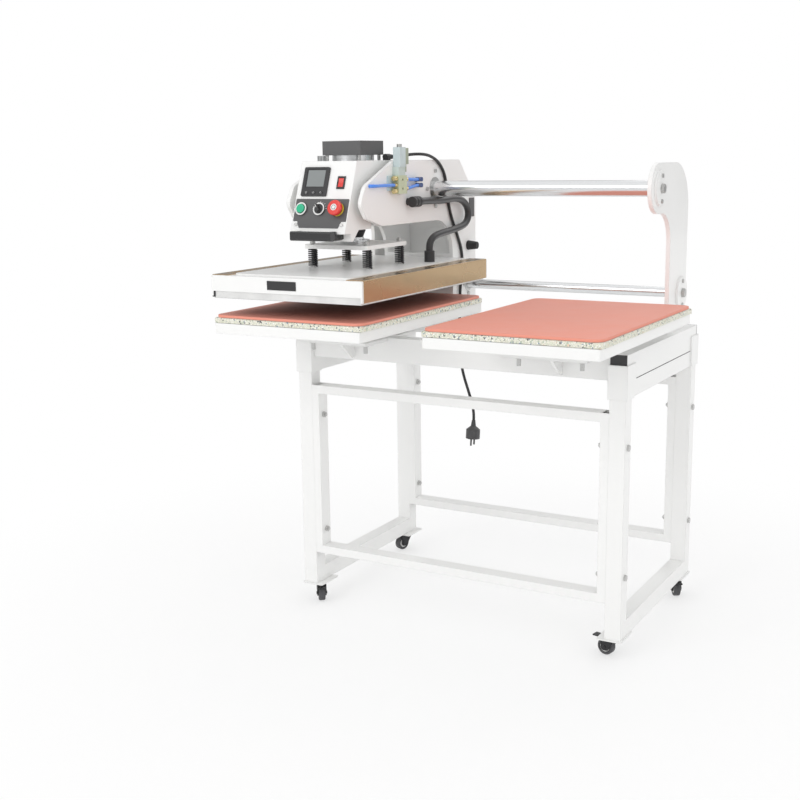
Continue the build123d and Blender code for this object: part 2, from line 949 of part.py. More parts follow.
def console_housing():
    """Folded sheet console, open below and behind, with cut-outs for its fittings."""
    half = console_width / 2
    wall = console_wall
    centre = -head_station
    shell = plate_yz(console_outline(0), centre - half, centre + half)
    shell -= plate_yz(console_outline(wall), centre - half + wall, centre + half - wall)
    cap = cylinder_cap_size / 2 - 1
    shell -= block(centre - cap, centre + cap, -cap, cap, console_top - wall - 1, console_top + 1)
    u, v = controller_place
    body = controller_size / 2 - 3
    shell -= panel_place(u, v) * Box(2 * body, 2 * body, 4 * wall)
    u, v = switch_place
    shell -= panel_place(u, v) * Box(switch_width - 4, switch_height - 4, 4 * wall)
    for u in (start_x, selector_x, stop_x):
        shell -= panel_place(u, control_row) * Cylinder(control_collar_radius - 3, 4 * wall)
    return shell


def control_overlay():
    """Dark control panel with collars for the three operators."""
    half = overlay_width / 2
    middle = overlay_level
    top = middle + overlay_height / 2
    foot = middle - overlay_height / 2
    tongue = overlay_tongue_width / 2
    tip = foot - overlay_tongue_height
    outline = rounded_face(
        (
            (-half, top, 2),
            (half, top, 2),
            (half, foot, 2),
            (tongue + 7, foot, 0),
            (tongue, tip, 2),
            (-tongue, tip, 2),
            (-tongue - 7, foot, 0),
            (-half, foot, 2),
        )
    )
    sheet = extrude(outline, overlay_thickness)
    for u in (start_x, selector_x, stop_x):
        collar = Pos(u, control_row, overlay_thickness) * Cylinder(
            control_collar_radius, control_collar_height, align=(Align.CENTER, Align.CENTER, Align.MIN)
        )
        sheet += collar
    holes = ((start_x, button_radius), (selector_x, knob_radius), (stop_x, mushroom_stem_radius))
    for u, radius in holes:
        depth = 2 * (overlay_thickness + control_collar_height)
        sheet -= Pos(u, control_row, 0) * Cylinder(radius + control_clearance, 2 * depth)
    return panel_place(0, 0) * sheet


def temperature_controller():
    """Square controller: bezel with a screen recess and three keys, body behind the panel."""
    size = controller_size
    low = (Align.CENTER, Align.CENTER, Align.MIN)
    high = (Align.CENTER, Align.CENTER, Align.MAX)
    unit = Box(size, size, controller_bezel, align=low)
    unit = fillet(unit.edges().filter_by(Axis.Z), 3)
    unit += Box(size - 6, size - 6, controller_depth, align=high)
    unit -= Pos(0, 8, controller_bezel) * Box(size - 18, size - 26, 2.4)
    for u in (-20, 0, 20):
        unit += Pos(u, -size / 2 + 8, controller_bezel - 1) * Box(10, 5, 2.4, align=low)
    return panel_place(*controller_place) * unit


def power_switch_frame():
    """Bezel and body of the rocker switch, with the rocker's pocket."""
    low = (Align.CENTER, Align.CENTER, Align.MIN)
    frame = Box(switch_width, switch_height, switch_bezel, align=low)
    frame += Pos(0, 0, -14) * Box(switch_width - 4, switch_height - 4, 14, align=low)
    frame -= Pos(0, 0, -7) * Box(switch_width - 7, switch_height - 7, 12, align=low)
    return panel_place(*switch_place) * frame


def power_rocker():
    """Rocker that tips about its middle."""
    length = switch_height - 7 - 2 * control_clearance - 1.5
    width = switch_width - 7 - 2 * control_clearance
    rise = 2.6
    profile = rounded_face(
        (
            (-length / 2, 0.5, 0),
            (-length / 2 + 1.5, -3, 0),
            (length / 2 - 1.5, -3, 0),
            (length / 2, 0.5, 0),
            (length / 2, rise, 0.5),
            (0, rise - 0.9, 0),
            (-length / 2, rise, 0.5),
        )
    )
    bar = extrude(Plane.YZ.offset(-width / 2) * profile, width)
    return panel_place(*switch_place) * bar


def start_button():
    """Green push button, sunk in its collar by its stem."""
    low = (Align.CENTER, Align.CENTER, Align.MIN)
    rise = overlay_thickness + control_collar_height
    button = Cylinder(button_radius, rise + button_height - 4, align=low)
    button = fillet(button.edges().filter_by(GeomType.CIRCLE).sort_by(Axis.Z)[-1:], 1.2)
    button += Pos(0, 0, -12) * Cylinder(button_radius - 3, 12, align=low)
    return panel_place(start_x, control_row) * Pos(0, 0, control_clearance) * button


def mode_selector():
    """Black selector knob with a raised grip bar."""
    low = (Align.CENTER, Align.CENTER, Align.MIN)
    rise = overlay_thickness + control_collar_height
    knob = Cylinder(knob_radius, rise + 2, align=low)
    grip = Pos(0, 0, rise) * Box(7, 2 * knob_radius - 2, knob_height - 4, align=low)
    knob += fillet(grip.edges().group_by(Axis.Z)[-1], 1.5)
    knob += Pos(0, 0, -12) * Cylinder(knob_radius - 3.5, 12, align=low)
    return panel_place(selector_x, control_row) * Rot(0, 0, 35) * knob


def emergency_stop():
    """Red mushroom head on its stem."""
    low = (Align.CENTER, Align.CENTER, Align.MIN)
    rise = overlay_thickness + control_collar_height + stop_stroke + 1.5
    head = Pos(0, 0, rise) * Cylinder(mushroom_radius, mushroom_height, align=low)
    head = fillet(head.edges().filter_by(GeomType.CIRCLE).sort_by(Axis.Z)[-1:], 3)
    stem = Pos(0, 0, 0.5) * Cylinder(mushroom_stem_radius, rise, align=low)
    tail = Pos(0, 0, -14) * Cylinder(mushroom_stem_radius - 2, 15, align=low)
    return panel_place(stop_x, control_row) * (head + stem + tail)


def pull_handle():
    """Black U handle under the panel."""
    front = console_panel_foot_y - handle_reach
    skirt = console_panel_foot_y + console_toe
    low = console_skirt_z + 3
    high = low + handle_bar_height
    left = -head_station - handle_half_width
    right = -head_station + handle_half_width
    bar = block(left, right, front, front + handle_bar_depth, low, high)
    bar = fillet(bar.edges().filter_by(Axis.X), 5)
    for x0, x1 in ((left, left + handle_arm_width), (right - handle_arm_width, right)):
        bar += block(x0, x1, front + handle_bar_depth / 2, skirt, low + 3, console_panel_foot_z)
    return bar


def cylinder_foot_top():
    """Top of the cylinder's lower cap."""
    return arm_underside + cross_plate_thickness + cylinder_foot_height


def cylinder_caps():
    """Square upper and lower caps of the air cylinder."""
    half = cylinder_cap_size / 2
    centre = -head_station
    low = arm_underside + cross_plate_thickness
    cap_top = cylinder_cap_bottom + cylinder_cap_height
    top = block(centre - half, centre + half, -half, half, cylinder_cap_bottom, cap_top)
    top = fillet(top.edges().filter_by(Axis.Z), 4)
    foot = block(centre - half, centre + half, -40, half, low, low + cylinder_foot_height)
    foot -= round_z(centre, 0, low - 1, low + cylinder_foot_height + 1, rod_radius + rod_clearance)
    for x, y in tie_rod_places():
        top -= round_z(x, y, cylinder_cap_bottom - 1, cylinder_cap_bottom + 22, tie_rod_radius)
        if y > 0:
            foot -= round_z(x, y, low + 6, low + cylinder_foot_height + 1, tie_rod_radius)
    return parts_of(top, foot)


def tie_rod_places():
    """X and Y of the cylinder's tie rods."""
    return [
        (-head_station + x * tie_rod_offset, y * tie_rod_offset) for x, y in corner_signs
    ]


def tie_rods():
    """Four rods that clamp the barrel between its caps."""
    pieces = []
    low = arm_underside + cross_plate_thickness
    for x, y in tie_rod_places():
        start = low + 6 if y > 0 else low + cylinder_foot_height
        pieces.append(round_z(x, y, start, cylinder_cap_bottom + 22, tie_rod_radius))
    return parts_of(*pieces)


def cylinder_barrel():
    """Round barrel between the caps."""
    centre = -head_station
    barrel = round_z(centre, 0, cylinder_foot_top(), cylinder_cap_bottom, barrel_radius)
    barrel -= round_z(
        centre, 0, cylinder_foot_top() - 1, cylinder_cap_bottom + 1, barrel_radius - barrel_wall
    )
    return barrel


# Valve and air lines
valve_left = arm_right
valve_width = 18
valve_front = 5
valve_back = 45
valve_low = pad_top + 268
valve_high = pad_top + 311
tube_radius = 4
supply_z = pad_top + 289
outlet_levels = (pad_top + 280, pad_top + 301)
elbow_levels = (pad_top + 286, pad_top + 300)
elbow_y = 122
valve_line = valve_left + 12


def valve_body():
    """Valve block on the arm plate, with its adapter and side block."""
    right = valve_left + valve_width
    body = block(valve_left, right, valve_front, valve_back, valve_low, valve_high)
    for level in outlet_levels:
        body -= round_x(right - 5, right + 1, 25, level, 3)
    adapter = block(valve_left, right - 1, valve_front + 2, valve_back - 6, valve_high, valve_high + 20)
    return body + adapter


def solenoid_coil():
    """Square coil on the valve, with its nut and plug socket."""
    low = valve_high + 20
    coil = block(valve_left, valve_left + 20, 10, 38, low, low + 46)
    coil = fillet(coil.edges().filter_by(Axis.Z), 2)
    coil += round_z(valve_left + 10, 24, low + 46, low + 53, 6)
    coil += block(valve_left + 2, valve_left + 18, 38, 54, low + 6, low + 44)
    coil += block(valve_left + 4, valve_left + 14, valve_back - 6, 50, low - 12, low + 6)
    return coil


def valve_fittings():
    """Silencers, push-in fittings, the side block and the console's air port."""
    pieces = []
    for level in (pad_top + 275, pad_top + 304):
        silencer = round_y(valve_line, valve_front, valve_front - 6, level, 5)
        silencer += round_y(valve_line, valve_front - 6, valve_front - 14, level, 6)
        pieces.append(silencer)
    inlet = round_y(valve_line, valve_front, valve_front - 12, supply_z, 5)
    inlet -= round_y(valve_line, valve_front - 6, valve_front - 13, supply_z, tube_radius)
    pieces.append(inlet)
    pieces.append(block(arm_right, arm_right + 5, -20, 2, pad_top + 276, valve_high))
    for level, turn_level in zip(outlet_levels, elbow_levels):
        outlet = round_y(valve_line, valve_back, valve_back + 10, level, 5)
        outlet -= round_y(valve_line, valve_back + 5, valve_back + 11, level, tube_radius)
        pieces.append(outlet)
        elbow = round_x(arm_right, valve_line + 5, elbow_y, turn_level, 5.5)
        elbow += round_y(valve_line, elbow_y - 13, elbow_y, turn_level, 5)
        elbow -= round_y(valve_line, elbow_y - 14, elbow_y - 8, turn_level, tube_radius)
        pieces.append(elbow)
    port = round_z(-head_station - 57, -52, console_top, console_top + 12, 9.5)
    pieces.append(port)
    return parts_of(*pieces)


def air_tubes():
    """Blue push-in tubes between the arm, the valve and the elbows."""
    supply = FilletPolyline(
        (arm_right, -100, supply_z),
        (valve_line, -100, supply_z),
        (valve_line, valve_front - 6, supply_z),
        radius=11,
    )
    pieces = [round_tube(supply, tube_radius, "supply tube")]
    for level, turn_level in zip(outlet_levels, elbow_levels):
        start = (valve_line, valve_back + 5, level)
        middle_one = (valve_line, valve_back + 16, level)
        middle_two = (valve_line, elbow_y - 19, turn_level)
        end = (valve_line, elbow_y - 8, turn_level)
        line = FilletPolyline(start, middle_one, middle_two, end, radius=18)
        pieces.append(round_tube(line, tube_radius, "outlet tube"))
    return parts_of(*pieces)


# Conduit, glands, cord and bumpers
def glands():
    """Upper conduit coupling with its stub, and the cord gland on the console."""
    level = conduit_route[0][2]
    coupling = round_y(
        conduit_x, upper_coupling_y, upper_coupling_y + upper_coupling_length, level, coupling_radius
    )
    coupling = fillet(coupling.edges().filter_by(GeomType.CIRCLE), 2)
    for step in (10, 24):
        start = upper_coupling_y + step
        coupling -= round_y(conduit_x, start, start + 3, level, 30) - round_y(
            conduit_x, start - 1, start + 4, level, coupling_radius - 1.5
        )
    coupling += round_x(arm_right, conduit_x, upper_coupling_y + 11, level, 9)
    gland = round_y(gland_x, gland_y, gland_y + gland_length, gland_z, gland_radius)
    foot = gland_radius - 1
    gland += block(gland_x - foot, gland_x + foot, gland_y, gland_y + 16, console_top, gland_z)
    return parts_of(coupling, gland)


def lower_conduit_coupling():
    """Black coupling that stands on the heating head's top panel."""
    coupling = round_z(
        conduit_x, lower_coupling_y, panel_top, panel_top + lower_coupling_height, coupling_radius
    )
    coupling = fillet(coupling.edges().filter_by(GeomType.CIRCLE).sort_by(Axis.Z)[-1:], 2)
    return coupling


def conduit():
    """Flexible conduit from the arm to the heating head."""
    return round_tube(tube_path(conduit_route, "conduit"), conduit_radius, "conduit")


def power_cord():
    """Mains cord from the gland over the arm and down behind the platens."""
    return round_tube(tube_path(cord_route, "power cord"), cord_radius, "power cord")


def mains_plug():
    """Round two-pin plug with its strain relief, hanging from the cord's end."""
    end = Vector(*cord_route[-1])
    before = Vector(*cord_route[-2])
    low = (Align.CENTER, Align.CENTER, Align.MIN)
    plug = Cone(cord_radius + 1, plug_relief_radius, plug_relief, align=low)
    plug += Pos(0, 0, plug_relief) * Cone(plug_relief_radius, plug_radius, 10, align=low)
    plug += Pos(0, 0, plug_relief + 10) * Cylinder(plug_radius, plug_body, align=low)
    for side in (-1, 1):
        pin = Pos(side * plug_pin_spacing / 2, 0, plug_relief + 10 + plug_body)
        plug += pin * Cylinder(plug_pin_radius, plug_pin_length, align=low)
    return Plane(end, x_dir=(0, 1, 0), z_dir=(end - before)).location * plug


def bumpers():
    """Rubber bumpers that meet the end plates at the two stations."""
    pieces = []
    for outer, inner, way in arm_sides():
        tip = outer - way * bumper_length
        stub = Cone(bumper_radius, bumper_tip_radius, bumper_length)
        stub = fillet(stub.edges().filter_by(GeomType.CIRCLE), 1.5)
        stub = Pos((outer + tip) / 2, bumper_y, bumper_z) * Rot(0, -90 * way, 0) * stub
        pieces.append(stub)
    return parts_of(*pieces)


# Press head
def piston_rod():
    """Piston, rod, stop cone, disc and flange that carry the pressure plate."""
    centre = -head_station
    plate_top = pressure_plate_bottom + pressure_plate_thickness
    piston_top = cylinder_cap_bottom - piston_top_gap
    flange_top = plate_top + rod_flange_height
    disc_top = flange_top + rod_disc_height
    cone_top = disc_top + rod_cone_height
    rod = round_z(centre, 0, plate_top, piston_top, rod_radius)
    piston_radius = barrel_radius - barrel_wall - piston_clearance
    rod += round_z(centre, 0, piston_top - piston_thickness, piston_top, piston_radius)
    rod += round_z(centre, 0, plate_top, flange_top, rod_flange_radius)
    rod += round_z(centre, 0, flange_top, disc_top, rod_disc_radius)
    cone = Pos(centre, 0, (disc_top + cone_top) / 2) * Cone(
        rod_cone_low_radius, rod_cone_top_radius, rod_cone_height
    )
    return rod + cone


def spring_places():
    """X and Y of the four springs."""
    places = []
    for x, y in corner_signs:
        places.append((-head_station + x * spring_offset_x, spring_middle_y + y * spring_offset_y))
    return places


def pressure_plate():
    """Plate between the rod and the springs."""
    plate = plate_xy(
        -head_station,
        spring_middle_y,
        pressure_plate_width,
        pressure_plate_length,
        8,
        pressure_plate_bottom,
        pressure_plate_bottom + pressure_plate_thickness,
    )
    for x, y in spring_places():
        plate -= round_z(
            x,
            y,
            pressure_plate_bottom - 1,
            pressure_plate_bottom + pressure_plate_thickness + 1,
            spring_bolt_radius + spring_bolt_clearance,
        )
    return plate


def spring_bolts():
    """Bolts that stand on the heating head, guide the springs and hold the plate down."""
    pieces = []
    plate_top = pressure_plate_bottom + pressure_plate_thickness
    for x, y in spring_places():
        bolt_top = plate_top + spring_bolt_head + spring_bolt_tip
        bolt = round_z(x, y, panel_top, bolt_top, spring_bolt_radius)
        low = plate_top + control_clearance
        bolt += hex_z(x, y, low, low + spring_bolt_head, spring_bolt_flats)
        pieces.append(bolt)
    return parts_of(*pieces)


def biarc(start, start_way, end, end_way):
    """Two tangent arcs between two points with given directions."""
    gap = end - start
    sum_way = start_way + end_way
    a = 2 * (start_way.dot(end_way) - 1)
    b = -2 * gap.dot(sum_way)
    c = gap.dot(gap)
    if abs(a) < 1e-9:
        reach = -c / b
    else:
        reach = (-b - sqrt(b * b - 4 * a * c)) / (2 * a)
        if reach < 0:
            reach = (-b + sqrt(b * b - 4 * a * c)) / (2 * a)
    joint = (start + end + (start_way - end_way) * reach) / 2
    first = TangentArc(start, joint, tangent=start_way)
    second = TangentArc(joint, end, tangent=first % 1)
    return [first, second]


def spring(x, y):
    """Coil spring between the heating head and the pressure plate."""
    mean_radius = spring_outer_radius - spring_wire / 2
    low = panel_top + spring_wire / 2
    high = pressure_plate_bottom - spring_wire / 2
    steps = int(spring_turns * 4)
    climb = (high - low) / (2 * pi * spring_turns)
    points = []
    ways = []
    for step in range(steps + 1):
        angle = step * pi / 2
        points.append(
            Vector(x + mean_radius * cos(angle), y + mean_radius * sin(angle), low + climb * angle)
        )
        ways.append(Vector(-mean_radius * sin(angle), mean_radius * cos(angle), climb).normalized())
    edges = []
    for step in range(steps):
        edges += biarc(points[step], ways[step], points[step + 1], ways[step + 1])
    path = Wire(edges)
    section = Plane(points[0], z_dir=ways[0]) * Circle(spring_wire / 2)
    return sweep(section, path=path)


def springs():
    """Four coil springs."""
    pitch = (pressure_plate_bottom - panel_top - spring_wire) / spring_turns
    print("spring least gap to itself", round(pitch - spring_wire, 2))
    return parts_of(*[spring(x, y) for x, y in spring_places()])


def cover_profile(inset, foot):
    """Section of the heating head across X, moved inwards by the sheet."""
    half = cover_width / 2 - inset
    return (
        (-half, cover_top - inset, 2),
        (half, cover_top - inset, 2),
        (half, foot, 0),
        (-half, foot, 0),
    )


def platen_cover():
    """White housing of the heating head: walls, top and raised panel, open below."""
    centre = -head_station
    shell = Pos(centre, 0, 0) * plate_xz(cover_profile(cover_sheet, cover_foot), cover_front, cover_back)
    seat = platen_underside + heating_plate_thickness
    width = pad_width / 2
    length = pad_length / 2
    shell -= block(centre - width, centre + width, cover_front - 1, cover_back + 1, cover_foot - 1, seat)
    hollow_x = cover_width / 2 - cover_sheet - cover_wall
    hollow_y = (cover_front + cover_wall, cover_back - cover_wall)
    roof = cover_top - cover_sheet - cover_wall
    shell -= block(centre - hollow_x, centre + hollow_x, *hollow_y, seat + 2, roof)
    shell -= block(centre - width + 8, centre + width - 8, -length + 8, length - 8, seat - 1, seat + 3)
    raised = plate_xy(
        centre,
        (cover_front + cover_back) / 2,
        raised_panel_width,
        cover_back - cover_front - 2 * raised_panel_inset,
        10,
        cover_top - cover_sheet - 0.5,
        panel_top,
    )
    return shell + raised


def side_covers():
    """Folded sheet covers along the left and right sides, slotted on top."""
    front = cover_front + side_cover_inset
    back = cover_back - side_cover_inset
    solid = plate_xz(cover_profile(0, cover_foot), front, back)
    solid -= plate_xz(cover_profile(cover_sheet, cover_foot - 1), front - 1, back + 1)
    keep = cover_width / 2 - side_cover_flange
    solid -= block(-keep, keep, front - 1, back + 1, cover_foot - 1, cover_top + 1)
    low = cover_top - cover_sheet - 0.2
    high = cover_top + 1
    for y in slot_places:
        for side in (-1, 1):
            x = side * (cover_width / 2 - side_cover_flange / 2)
            half = slot_length / 2
            solid -= block(x - slot_width / 2, x + slot_width / 2, y - half, y + half, low, high)
            for tip in (-1, 1):
                solid -= round_z(x, y + tip * half, low, high, slot_width / 2)
    return parts_of(Pos(-head_station, 0, 0) * solid)


def heating_plate():
    """Cast heating plate that presses the pad."""
    top = platen_underside + heating_plate_thickness
    return plate_xy(-head_station, 0, pad_width, pad_length, 0, platen_underside, top)


def build_nodes():
    """Every node's solids, in the press's own frame."""
    front, rear = leg_middles()
    pad = plate_xy(0, 0, pad_width, pad_length, pad_corner, foam_top, pad_top)
    foam = plate_xy(0, 0, foam_width, foam_length, foam_corner, tray_top, foam_top)
    nodes = {
        "side_frame_left": side_frame(-1),
        "side_frame_right": side_frame(1),
        "cross_frame_front": cross_frame(front),
        "cross_frame_rear": cross_frame(rear),
        "base_frame": base_frame(),
        "tube_plugs": tube_plugs(),
        "leg_bolts": leg_bolts(),
        "caster_plates": caster_plates(),
        "platen_brackets": both_stations(platen_bracket()),
        "levelling_studs": both_stations(levelling_studs()),
        "platen_trays": both_stations(platen_tray()),
        "platen_foams": both_stations(foam),
        "silicone_pads": both_stations(pad),
        "end_plate_left": end_plate(-1),
        "end_plate_right": end_plate(1),
        "hub_bolts": hub_bolts(),
        "upper_shaft": shaft(upper_shaft_y, upper_shaft_z, upper_shaft_radius),
        "lower_shaft": shaft(lower_shaft_y, lower_shaft_z, lower_shaft_radius),
        "arm_plates": arm_plates(),
        "arm_cross_plates": arm_cross_plates(),
        "bearing_housings": bearing_housings(),
        "carriage_screws": carriage_screws(),
        "console_housing": console_housing(),
        "control_overlay": control_overlay(),
        "temperature_controller": temperature_controller(),
        "power_switch_frame": power_switch_frame(),
        "power_rocker": power_rocker(),
        "start_button": start_button(),
        "mode_selector": mode_selector(),
        "emergency_stop": emergency_stop(),
        "pull_handle": pull_handle(),
        "cylinder_caps": cylinder_caps(),
        "cylinder_barrel": cylinder_barrel(),
        "tie_rods": tie_rods(),
        "valve_body": valve_body(),
        "solenoid_coil": solenoid_coil(),
        "valve_fittings": valve_fittings(),
        "air_tubes": air_tubes(),
        "glands": glands(),
        "bumpers": bumpers(),
        "conduit": conduit(),
        "power_cord": power_cord(),
        "mains_plug": mains_plug(),
        "piston_rod": piston_rod(),
        "pressure_plate": pressure_plate(),
        "springs": springs(),
        "spring_bolts": spring_bolts(),
        "platen_cover": platen_cover(),
        "side_covers": side_covers(),
        "heating_plate": heating_plate(),
        "lower_conduit_coupling": lower_conduit_coupling(),
    }
    fork = caster_fork()
    wheel = caster_wheel()
    for name, x, y in caster_places():
        place = Pos(x, y, 0) * Rot(0, 0, caster_turns[name])
        nodes["caster_fork_" + name] = place * fork
        nodes["caster_wheel_" + name] = place * wheel
    return nodes


os.makedirs("parts", exist_ok=True)
for node_name, shape in build_nodes().items():
    export_step(Pos(shift_x, shift_y, 0) * shape, "parts/" + node_name + ".step")
print("shift", shift_x, shift_y)
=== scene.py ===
import math
import bpy
import bmesh
from mathutils import Matrix, Vector


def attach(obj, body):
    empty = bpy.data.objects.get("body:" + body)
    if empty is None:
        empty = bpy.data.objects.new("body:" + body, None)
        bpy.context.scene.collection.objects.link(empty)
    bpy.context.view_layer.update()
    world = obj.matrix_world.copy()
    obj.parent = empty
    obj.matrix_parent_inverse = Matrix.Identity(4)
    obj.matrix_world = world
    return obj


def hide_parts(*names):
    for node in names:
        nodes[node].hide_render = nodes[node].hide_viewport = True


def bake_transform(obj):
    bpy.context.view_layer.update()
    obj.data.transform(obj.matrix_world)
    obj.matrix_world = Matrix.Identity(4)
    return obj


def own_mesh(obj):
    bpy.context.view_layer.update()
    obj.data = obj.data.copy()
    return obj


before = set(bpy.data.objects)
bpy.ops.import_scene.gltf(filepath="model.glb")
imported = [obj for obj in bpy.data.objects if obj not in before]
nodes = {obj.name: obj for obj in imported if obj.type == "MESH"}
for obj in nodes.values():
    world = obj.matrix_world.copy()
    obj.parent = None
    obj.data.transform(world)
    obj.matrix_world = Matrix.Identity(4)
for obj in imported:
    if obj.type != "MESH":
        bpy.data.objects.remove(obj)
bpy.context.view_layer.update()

print("stage: frame loaded,", len(nodes), "nodes")

# everything below is in metres, in the frame of the press
press = {
    "shift": (-0.001, -0.105),      # the drawing's zero, seen from the frame's origin
    "padTop": 0.787,
    "leftPad": -0.275,
    "rightPad": 0.275,
    "head": -0.272,
    "armRight": -0.168,
}
corners = ("front_left", "front_right", "rear_left", "rear_right")


def place(x, y, z):
    return Vector((x + press["shift"][0], y + press["shift"][1], z))


def above(x, y, z):
    # z is counted from the top of the pads
    return place(x, y, z + press["padTop"])


# shader nodes
def plug(tree, socket, value):
    # a number or a colour is set, and an output is linked
    if isinstance(value, (int, float)):
        socket.default_value = value
    elif isinstance(value, (tuple, list)):
        socket.default_value = value if socket.type == "VECTOR" else (*value[:3], 1)
    else:
        tree.links.new(value, socket)


def addNode(tree, kind, **settings):
    node = tree.nodes.new(kind)
    for key, value in settings.items():
        setattr(node, key, value)
    return node


def mathNode(tree, operation, first, second, clamp=False):
    node = addNode(tree, "ShaderNodeMath", operation=operation, use_clamp=clamp)
    plug(tree, node.inputs[0], first)
    plug(tree, node.inputs[1], second)
    return node.outputs[0]


def vectorNode(tree, operation, *values):
    node = addNode(tree, "ShaderNodeVectorMath", operation=operation)
    for socket, value in zip(node.inputs, values):
        plug(tree, socket, value)
    return node.outputs


def mixColor(tree, mask, first, second, blend="MIX"):
    node = addNode(tree, "ShaderNodeMix", data_type="RGBA", blend_type=blend)
    for index, value in ((0, mask), (6, first), (7, second)):
        plug(tree, node.inputs[index], value)
    return node.outputs[2]


def mixValue(tree, mask, first, second):
    node = addNode(tree, "ShaderNodeMix", data_type="FLOAT")
    for index, value in ((0, mask), (2, first), (3, second)):
        plug(tree, node.inputs[index], value)
    return node.outputs[0]


def mixShaders(tree, mask, first, second):
    node = addNode(tree, "ShaderNodeMixShader")
    for socket, value in zip(node.inputs, (mask, first, second)):
        tree.links.new(value, socket)
    return node.outputs[0]


def mapRange(tree, value, low, high, span=(0.3, 0.7), curve="LINEAR"):
    # the span without a value of its own is the one that noise fills
    node = addNode(tree, "ShaderNodeMapRange", interpolation_type=curve)
    for label, limit in zip(("From Min", "From Max", "To Min", "To Max"), (*span, low, high)):
        node.inputs[label].default_value = limit
    tree.links.new(value, node.inputs["Value"])
    return node.outputs["Result"]


def splitVector(tree, value):
    node = addNode(tree, "ShaderNodeSeparateXYZ")
    tree.links.new(value, node.inputs[0])
    return node.outputs


def ownPlace(tree):
    return addNode(tree, "ShaderNodeTexCoord").outputs["Object"]


def noiseOf(tree, vector, scale, detail=3.0, rough=0.55):
    node = addNode(tree, "ShaderNodeTexNoise")
    for label, value in (("Detail", detail), ("Roughness", rough), ("Scale", scale),
                         ("Vector", vector)):
        plug(tree, node.inputs[label], value)
    return node.outputs["Fac"]


# shader groups
def newGroup(name, inputs, outputs):
    # inputs are given by their first value, outputs by their kind
    group = bpy.data.node_groups.new(name, "ShaderNodeTree")
    for label, value in inputs.items():
        kind = "NodeSocketVector" if isinstance(value, tuple) else "NodeSocketFloat"
        socket = group.interface.new_socket(name=label, in_out="INPUT", socket_type=kind)
        socket.default_value = value
    for label, kind in outputs.items():
        group.interface.new_socket(name=label, in_out="OUTPUT", socket_type="NodeSocket" + kind)
    start = group.nodes.new("NodeGroupInput")
    end = group.nodes.new("NodeGroupOutput")
    return group, start, end


wearing = {
    "samples": 4,
    "sharpness": 9.0,
    "patchDetail": 4.0,
    "patchLevel": 0.42,
    "patchContrast": 5.0,
    "paint": (1.25, 0.03),      # how much brighter worn paint and metal are
    "metal": (1.15, 0.0),
}


def buildEdgeWear():
    # mask of the outer edges, broken up by noise, and the rounded normal
    group, start, end = newGroup(
        "edgeWear", {"Radius": 0.001, "Noise Scale": 60.0, "Amount": 0.5},
        {"Mask": "Float", "Normal": "Vector"})
    bevel = addNode(group, "ShaderNodeBevel", samples=wearing["samples"])
    group.links.new(start.outputs["Radius"], bevel.inputs["Radius"])
    plain = addNode(group, "ShaderNodeNewGeometry").outputs["Normal"]
    facing = vectorNode(group, "DOT_PRODUCT", bevel.outputs[0], plain)["Value"]
    edge = mathNode(group, "SUBTRACT", 1.0, facing)
    edge = mathNode(group, "MULTIPLY", edge, wearing["sharpness"], clamp=True)
    patches = noiseOf(group, ownPlace(group), start.outputs["Noise Scale"], wearing["patchDetail"])
    patches = mathNode(group, "SUBTRACT", patches, wearing["patchLevel"])
    patches = mathNode(group, "MULTIPLY", patches, wearing["patchContrast"], clamp=True)
    mask = mathNode(group, "MULTIPLY", edge, patches)
    mask = mathNode(group, "MULTIPLY", mask, start.outputs["Amount"], clamp=True)
    group.links.new(mask, end.inputs["Mask"])
    group.links.new(bevel.outputs[0], end.inputs["Normal"])
    return group


grains = {
    "fineDetail": 2.0,
    "slowDetail": 5.0,
}


def buildGrain():
    # fine surface grain as a height, and a slow mask for colour and gloss
    group, start, end = newGroup(
        "surfaceGrain", {"Fine Scale": 900.0, "Slow Scale": 5.0},
        {"Height": "Float", "Slow": "Float"})
    where = ownPlace(group)
    fine = noiseOf(group, where, start.outputs["Fine Scale"], grains["fineDetail"])
    slow = noiseOf(group, where, start.outputs["Slow Scale"], grains["slowDetail"])
    group.links.new(fine, end.inputs["Height"])
    group.links.new(slow, end.inputs["Slow"])
    return group


brushing = {
    "detail": 2.0,
    "rough": 0.7,
    "height": 0.0001,
}


def buildBrushing():
    # long scratches along one axis, chosen by the three stretch values
    group, start, end = newGroup(
        "brushedLines", {"Stretch": (1.0, 1.0, 1.0), "Scale": 300.0}, {"Lines": "Float"})
    where = vectorNode(group, "MULTIPLY", ownPlace(group), start.outputs["Stretch"])[0]
    lines = noiseOf(group, where, start.outputs["Scale"], brushing["detail"], brushing["rough"])
    group.links.new(lines, end.inputs["Lines"])
    return group


dusting = {
    "steepness": 3.0,
    "detail": 5.0,
    "rough": 0.65,
    "color": (0.80, 0.79, 0.76),
}


def buildDust():
    # thin dust on what faces up
    group, start, end = newGroup("settledDust", {"Amount": 0.2, "Scale": 25.0}, {"Mask": "Float"})
    normal = addNode(group, "ShaderNodeNewGeometry").outputs["Normal"]
    upward = mathNode(group, "MAXIMUM", splitVector(group, normal)["Z"], 0.0)
    upward = mathNode(group, "POWER", upward, dusting["steepness"])
    cloud = noiseOf(group, ownPlace(group), start.outputs["Scale"], dusting["detail"],
                    dusting["rough"])
    mask = mathNode(group, "MULTIPLY", upward, cloud)
    mask = mathNode(group, "MULTIPLY", mask, start.outputs["Amount"], clamp=True)
    group.links.new(mask, end.inputs["Mask"])
    return group


